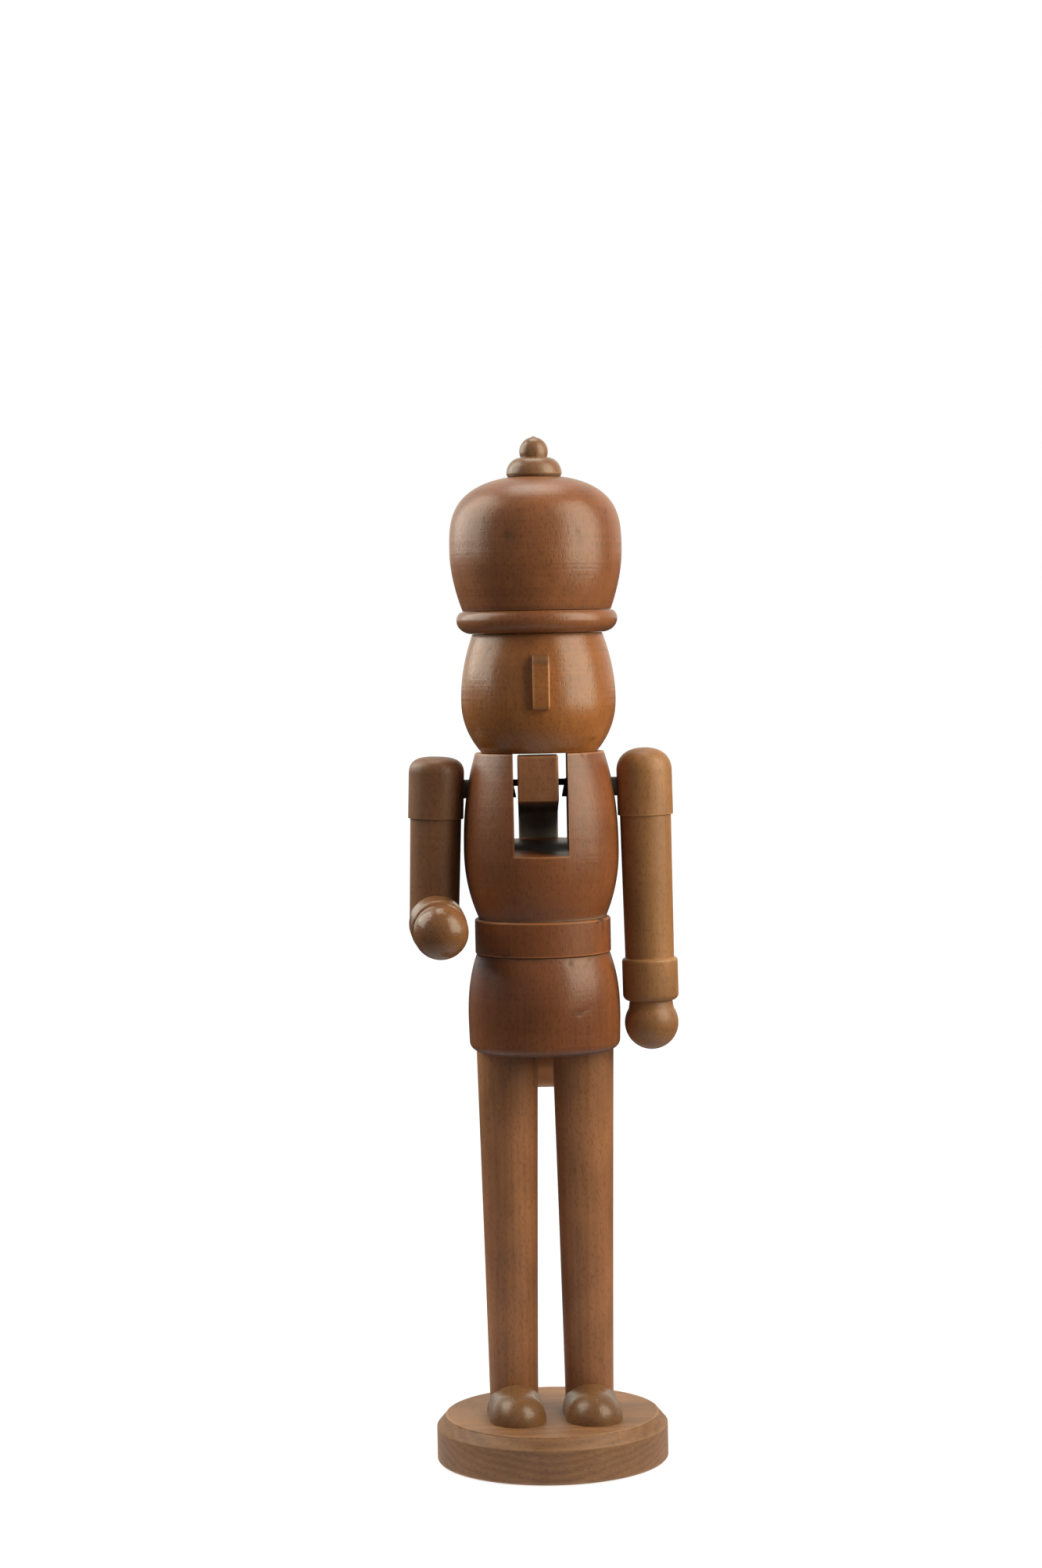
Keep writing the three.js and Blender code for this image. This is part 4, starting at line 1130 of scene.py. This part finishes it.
class NUTCRACKER_OT_hat(bpy.types.Operator):
    """The hat: a bead for a brim, and a crown that swells by a power and closes in a squared dome"""

    bl_idname = "nutcracker.make_hat"
    bl_label = "Hat"

    def execute(self, context):
        sizes = settings().head
        low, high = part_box("hat_brim")
        top, widest, middle = high.z - low.z, high.x, sizes.brim_widest_height
        under = arc(sizes.head_top_radius, middle, widest - sizes.head_top_radius, middle, -QUARTER, 0)
        seat = sizes.crown_foot_radius
        over = arc(seat, middle, widest - seat, top - middle, 0, QUARTER)
        material = wood("brim_stain", settings().finish.hat, shift=(0.26, 0.2, 0.06), tool=0.5)
        profile = softened(joined((0, 0), under, over, (0, top)), reach=0.3 * MM, count=90)
        turned_piece("brim_bead", "hat_brim", profile, material, segments=224, foot=low.z)

        low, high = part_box("hat_crown")
        top, widest = high.z - low.z, high.x
        share = np.linspace(0, 1, 60)
        lower = path(
            falling(widest, sizes.crown_foot_radius, sizes.crown_lower_power, 1 - share),
            sizes.crown_widest_height * share,
        )
        seat = (top - sizes.crown_widest_height) / sizes.crown_dome_height
        rise = seat * np.sin(QUARTER * np.linspace(0, 1, 90))
        dome = path(
            widest * (1 - rise ** sizes.crown_dome_power) ** (1 / sizes.crown_dome_square),
            sizes.crown_widest_height + sizes.crown_dome_height * rise,
        )
        dents = [
            (-18.4, 343.7, 1.3, 2.1, 0.0, 0.24),
            (-14.5, 342.6, 0.7, 0.7, 0.0, 0.16),
            (28.1, 344.7, 0.7, 0.9, 0.0, 0.24),
            (31.0, 342.0, 0.5, 0.8, 0.0, 0.16),
            (56.4, 351.9, 1.2, 0.5, 0.4, 0.18),
            (-9.0, 331.0, 0.5, 1.8, 0.1, 0.1),
        ]
        material = wood("crown_stain", settings().finish.hat, shift=(0.05, 0.4, 0.23), tool=2.2, dull=0.02)
        profile = softened(joined((0, 0), lower, dome, (0, top)), reach=0.4 * MM, count=150)
        turned_piece("crown_turning", "hat_crown", profile, material, segments=224, foot=low.z, dents=dents,
                     seams=[low.z])
        return {"FINISHED"}


class NUTCRACKER_OT_finial(bpy.types.Operator):
    """The finial: a mushroom cap, a ball and a tenon in one turning"""

    bl_idname = "nutcracker.make_finial"
    bl_label = "Finial"

    def execute(self, context):
        sizes = settings().head
        low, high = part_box("finial")
        foot = sizes.finial_tenon_length
        below = sizes.finial_ball_height - sizes.finial_cap_height
        neck = math.sqrt(sizes.finial_ball_radius ** 2 - below ** 2)
        neck_angle = -math.asin(below / sizes.finial_ball_radius)
        tip_angle = math.acos(sizes.finial_tip_radius / sizes.finial_ball_radius)
        edge, ball_radius = sizes.finial_cap_edge, sizes.finial_ball_radius
        cap = arc(neck, foot + edge, high.x - neck, sizes.finial_cap_height - edge, 0, QUARTER)
        ball = arc(0, foot + sizes.finial_ball_height, ball_radius, ball_radius, neck_angle, tip_angle, 40)
        profile = joined(
            (0, 0), (sizes.finial_tenon_radius, 0), (sizes.finial_tenon_radius, foot),
            (sizes.finial_foot_radius, foot), cap, ball, (0, high.z - low.z),
        )
        # Its stain carries painted highlight: lighter and greyer for the overhead light's sheen.
        material = wood("finial_stain", settings().finish.finial, shift=(0.34, 0.11, 0.02), tool=0.5)
        turned_piece("finial_turning", "finial", softened(profile, reach=0.3 * MM, count=130), material,
                     segments=128, foot=low.z, seams=[low.z + foot])
        return {"FINISHED"}


def hand_profile(sizes):
    """Fist, wrist groove and cuff, upwards from the axis: a ball, a lower round and an upper round."""
    rise = math.sqrt(sizes.fist_radius ** 2 - sizes.wrist_radius ** 2)
    wrist_angle = math.atan2(rise, sizes.wrist_radius)
    foot, upper = sizes.cuff_foot_round, sizes.cuff_top_round
    cuff_foot = -(sizes.cuff_top + sizes.cuff_length)
    return joined(
        arc(0, -sizes.fist_drop, sizes.fist_radius, sizes.fist_radius, -QUARTER, wrist_angle, 48),
        arc(sizes.cuff_radius - foot, cuff_foot + foot, foot, foot, -QUARTER, 0),
        arc(sizes.cuff_radius - upper, -sizes.cuff_top - upper, upper, upper, 0, QUARTER),
        (sizes.sleeve_foot_radius, -sizes.cuff_top),
    )


def cap_profile(sizes, rise, square):
    """Shoulder cap: a step out from the sleeve, an upright side and a squared dome."""
    turn = np.linspace(0, QUARTER, 48)
    dome = path(
        sizes.cap_radius * np.cos(turn) ** (2 / square),
        sizes.cap_start + (rise - sizes.cap_start) * np.sin(turn) ** (2 / square),
    )
    dome[-1, 0] = 0.0
    return joined((sizes.sleeve_top_radius, -sizes.cap_drop), (sizes.cap_radius, -sizes.cap_drop), dome)


def sleeve_radius(sizes, height):
    """Radius of the sleeve at a height below the shoulder, straight from the cap to the cuff."""
    share = (-height - sizes.cap_drop) / (sizes.cuff_top - sizes.cap_drop)
    return sizes.sleeve_top_radius + (sizes.sleeve_foot_radius - sizes.sleeve_top_radius) * share


def hung(grid, name, splay):
    """An arm's points leaned out from the body and hung at its shoulder joint."""
    return spun(grid, "Y", -SIDES[name] * splay) + JOINTS[f"{name}_shoulder"]["pos_m"]


ARM_SEGMENTS = 144
ARM_SOFT = 0.35 * MM
SLEEVE_START = 2 * MM
CUFF_DENT = (166.0, -72.0, 0.9, 0.7, 0.0, 0.4)


class NUTCRACKER_OT_straight_arm(bpy.types.Operator):
    """The straight left arm: fist, cuff, sleeve and shoulder cap in one turning"""

    bl_idname = "nutcracker.make_straight_arm"
    bl_label = "Straight arm"

    def execute(self, context):
        sizes = settings().arms
        profile = joined(hand_profile(sizes), cap_profile(sizes, sizes.left_rise, sizes.left_square))
        grid = lathe(softened(profile, ARM_SOFT, 210), ARM_SEGMENTS)
        material = wood("left_arm_stain", settings().finish.left_sleeve, shift=(0.18, 0.27, 0.1),
                        tool=1.0, dull=0.15)
        dress(add_piece("left_arm_turning", [hung(grid, "left", sizes.left_splay)]), "left_arm", material)
        return {"FINISHED"}


class NUTCRACKER_OT_bent_arm(bpy.types.Operator):
    """The bent right arm: the same turning sawn on a mitre, with its lower half turned forward"""

    bl_idname = "nutcracker.make_bent_arm"
    bl_label = "Bent arm"

    def sleeve(self, sizes, join, normal, gap):
        """Sleeve rows from a level join to the mitre: each line along the sleeve ends where it meets the
        plane through the elbow with that normal, moved along it by the gap."""
        turn = round_angles(ARM_SEGMENTS)
        radius = sleeve_radius(sizes, -sizes.elbow_drop)
        flat = radius * np.stack([np.sin(turn), -np.cos(turn)], axis=-1)
        end = -sizes.elbow_drop + (gap - flat @ normal[:2]) / normal[2]
        height = join + (end - join) * np.linspace(0, 1, 40)[:, None]
        return ring_points(sleeve_radius(sizes, height), turn, height)

    def execute(self, context):
        sizes = settings().arms
        down = Vector((0, 0, -1))
        forward = Vector((
            math.sin(sizes.inward) * math.cos(sizes.droop),
            -math.cos(sizes.inward) * math.cos(sizes.droop),
            -math.sin(sizes.droop),
        ))
        bend = np.array(down.rotation_difference(forward).to_matrix())
        mitre = np.array((down + forward).normalized())
        elbow = np.array([0, 0, -sizes.elbow_drop])
        finish = settings().finish

        join = -sizes.cap_drop - SLEEVE_START
        shoulder = cap_profile(sizes, sizes.right_rise, sizes.right_square)
        profile = joined((sleeve_radius(sizes, join), join), shoulder)
        cap = lathe(softened(profile, ARM_SOFT, 110), ARM_SEGMENTS)
        sleeve = self.sleeve(sizes, join, mitre, -sizes.elbow_gap / 2)
        upper = [hung(grid, "right", sizes.right_splay) for grid in (cap, sleeve, capped(sleeve[-1]))]
        material = wood("right_upper_arm_stain", finish.right_sleeve, shift=(0.42, 0.3, 0.31),
                        tool=1.2, dull=0.15)
        dress(add_piece("upper_arm_turning", upper), "right_upper_arm", material)

        join = -sizes.cuff_top + SLEEVE_START
        profile = joined(hand_profile(sizes), (sleeve_radius(sizes, join), join))
        hand = lathe(softened(profile, ARM_SOFT, 130), ARM_SEGMENTS)
        hand = dented(hand, [CUFF_DENT])
        sleeve = self.sleeve(sizes, join, bend.T @ mitre, sizes.elbow_gap / 2)
        lower = [(grid - elbow) @ bend.T + elbow for grid in (hand, sleeve, capped(sleeve[-1]))]
        lower = [hung(grid, "right", sizes.right_splay) for grid in lower]
        material = wood("right_forearm_stain", finish.right_sleeve, grain=ALONG_Y, shift=(0.2, 0.2, 0.45),
                        tool=1.2, dull=-0.08)
        dress(add_piece("forearm_turning", lower), "right_forearm", material)
        return {"FINISHED"}


COOL_FRONT = (0.84, 1.0, 1.25, 1.0)
WARM_BACK = (1.0, 0.99, 0.87, 1.0)


class NUTCRACKER_OT_studio(bpy.types.Operator):
    """A pale floor, two soft boxes, an overhead sheet, a white wall behind and the camera"""

    bl_idname = "nutcracker.make_studio"
    bl_label = "Studio"

    def floor(self, glow):
        """A wide disc, a hair below the base's foot. The camera sees it pale all over, but it lights the
        figure only from the sheet that it stands on, whose light falls off by its distance."""
        reach = np.r_[0.0, np.geomspace(0.1, 60.0, 40)]
        grid = ring_points(reach[:, None], round_angles(64)[None, :], -0.3 * MM)
        floor = add_piece("floor", [grid])
        material, tree = new_material("pale_floor")
        place = put(tree, "ShaderNodeTexCoord").outputs["Object"]
        away = put(tree, "ShaderNodeVectorMath", {0: place}, operation="LENGTH").outputs["Value"]
        sheet = ramp(tree, away, 0.08, 0.34, glow, 0.06)
        bounce = put(tree, "ShaderNodeEmission", {"Strength": sheet})
        glare = ramp(tree, away, 0.1, 1.2, 0.8, 1.0)
        seen = put(tree, "ShaderNodeBsdfPrincipled", {
            "Base Color": (0.4, 0.4, 0.4, 1.0),
            "Roughness": 0.95,
            "Specular IOR Level": 0.0,
            "Emission Color": WHITE,
            "Emission Strength": glare,
        })
        to_camera = put(tree, "ShaderNodeLightPath").outputs["Is Camera Ray"]
        show(tree, put(tree, "ShaderNodeMixShader", {0: to_camera, 1: bounce.outputs[0], 2: seen.outputs[0]}))
        floor.data.materials.append(material)
        if floor.data.polygons[0].normal.z < 0:
            floor.data.flip_normals()

    def soft_box(self, name, away, turn, heights, wide, watts, tone, flat=False):
        """A rectangular light at a distance and an angle from the front, counted towards +X. It stands
        upright between two heights and faces the figure's axis, or lies flat and faces the floor."""
        low, high = heights
        light = bpy.data.lights.new(name, "AREA")
        light.shape = "RECTANGLE"
        light.size, light.size_y = wide, wide if flat else high - low
        light.energy = watts
        light.color = tone
        lamp = bpy.data.objects.new(name, light)
        lamp.location = (away * math.sin(turn), -away * math.cos(turn), (low + high) / 2)
        lamp.rotation_euler = (0.0 if flat else QUARTER, 0.0, turn)
        bpy.context.scene.collection.objects.link(lamp)

    def surroundings(self, front, back):
        """The room: dim and cool in front of the figure, bright and warm behind it, and white where the
        camera looks at it."""
        world = bpy.data.worlds.new("studio")
        bpy.context.scene.world = world
        world.use_nodes = True
        tree = world.node_tree
        tree.nodes.clear()
        direction = put(tree, "ShaderNodeTexCoord").outputs["Generated"]
        ahead = put(tree, "ShaderNodeSeparateXYZ", {0: direction}).outputs[1]
        glow = ramp(tree, ahead, 0.3, 0.85, front, back)
        seen = put(tree, "ShaderNodeLightPath").outputs["Is Camera Ray"]
        strength = calc(tree, "ADD", calc(tree, "MULTIPLY", glow, calc(tree, "SUBTRACT", 1.0, seen)), seen)
        behind = ramp(tree, ahead, 0.3, 0.85, 0.0, 1.0)
        colour = mixed(tree, seen, mixed(tree, behind, COOL_FRONT, WARM_BACK), WHITE)
        backdrop = put(tree, "ShaderNodeBackground", {"Color": colour, "Strength": strength})
        show(tree, backdrop, "ShaderNodeOutputWorld")

    def camera(self, studio):
        """The camera looks along +Y, tilted down and then rolled about its own axis."""
        ahead = Vector((0, math.cos(studio.camera_tilt), -math.sin(studio.camera_tilt)))
        level = Vector((1, 0, 0))
        upright = level.cross(ahead)
        roll = studio.camera_roll
        right = math.cos(roll) * level - math.sin(roll) * upright
        up = math.sin(roll) * level + math.cos(roll) * upright
        data = bpy.data.cameras.new("camera")
        data.lens = studio.lens
        data.sensor_width = 36.0
        data.sensor_fit = "AUTO"
        data.clip_start, data.clip_end = 0.05, 200.0
        camera = bpy.data.objects.new("camera", data)
        camera.matrix_world = Matrix((right, up, -ahead)).transposed().to_4x4()
        camera.location = (-studio.camera_shift, -studio.camera_distance, studio.camera_height)
        bpy.context.scene.collection.objects.link(camera)
        bpy.context.scene.camera = camera

    def execute(self, context):
        studio = settings().studio
        self.floor(studio.floor_glow)
        self.soft_box("key_box", away=0.45, turn=studio.key_turn, heights=(0.22, 0.95), wide=0.42,
                      watts=studio.key_power, tone=(1.0, 0.925, 0.72))
        self.soft_box("side_box", away=0.45, turn=studio.side_turn, heights=(0.34, 1.05), wide=0.5,
                      watts=studio.side_power, tone=(1.0, 0.98, 0.84))
        self.soft_box("top_sheet", away=0.2, turn=math.pi, heights=(1.0, 1.02), wide=0.4,
                      watts=studio.top_power, tone=(1.0, 0.98, 0.86), flat=True)
        self.surroundings(studio.front_glow, studio.back_glow)
        self.camera(studio)
        context.scene.view_settings.view_transform = "Standard"
        return {"FINISHED"}


OPERATORS = (
    NUTCRACKER_OT_studio,
    NUTCRACKER_OT_base,
    NUTCRACKER_OT_legs,
    NUTCRACKER_OT_shoes,
    NUTCRACKER_OT_skirt,
    NUTCRACKER_OT_belt,
    NUTCRACKER_OT_torso,
    NUTCRACKER_OT_lever,
    NUTCRACKER_OT_rods,
    NUTCRACKER_OT_inner_dowels,
    NUTCRACKER_OT_head,
    NUTCRACKER_OT_nose,
    NUTCRACKER_OT_hat,
    NUTCRACKER_OT_finial,
    NUTCRACKER_OT_straight_arm,
    NUTCRACKER_OT_bent_arm,
)
GROUPS = (
    StandSizes, CoatSizes, JawSizes, HeadSizes, ArmSizes, WoodFinish, StudioSettings, NutcrackerSettings,
)


class NUTCRACKER_PT_pieces(bpy.types.Panel):
    """Lists the pieces in the order in which they are made."""

    bl_idname = "NUTCRACKER_PT_pieces"
    bl_label = "Nutcracker"
    bl_space_type = "VIEW_3D"
    bl_region_type = "UI"
    bl_category = "Nutcracker"

    def draw(self, context):
        for operator in OPERATORS:
            self.layout.operator(operator.bl_idname)


CLASSES = (*GROUPS, *OPERATORS, NUTCRACKER_PT_pieces)


def register():
    for item in CLASSES:
        bpy.utils.register_class(item)
    bpy.types.Scene.nutcracker = bpy.props.PointerProperty(
        type=NutcrackerSettings, name="Nutcracker", description="Settings of the figure",
    )


def unregister():
    del bpy.types.Scene.nutcracker
    for item in reversed(CLASSES):
        bpy.utils.unregister_class(item)


def main():
    """Makes the studio and every piece."""
    register()
    for operator in OPERATORS:
        module, name = operator.bl_idname.split(".")
        getattr(getattr(bpy.ops, module), name)()
    bpy.context.view_layer.update()


if __name__ == "__main__":
    main()
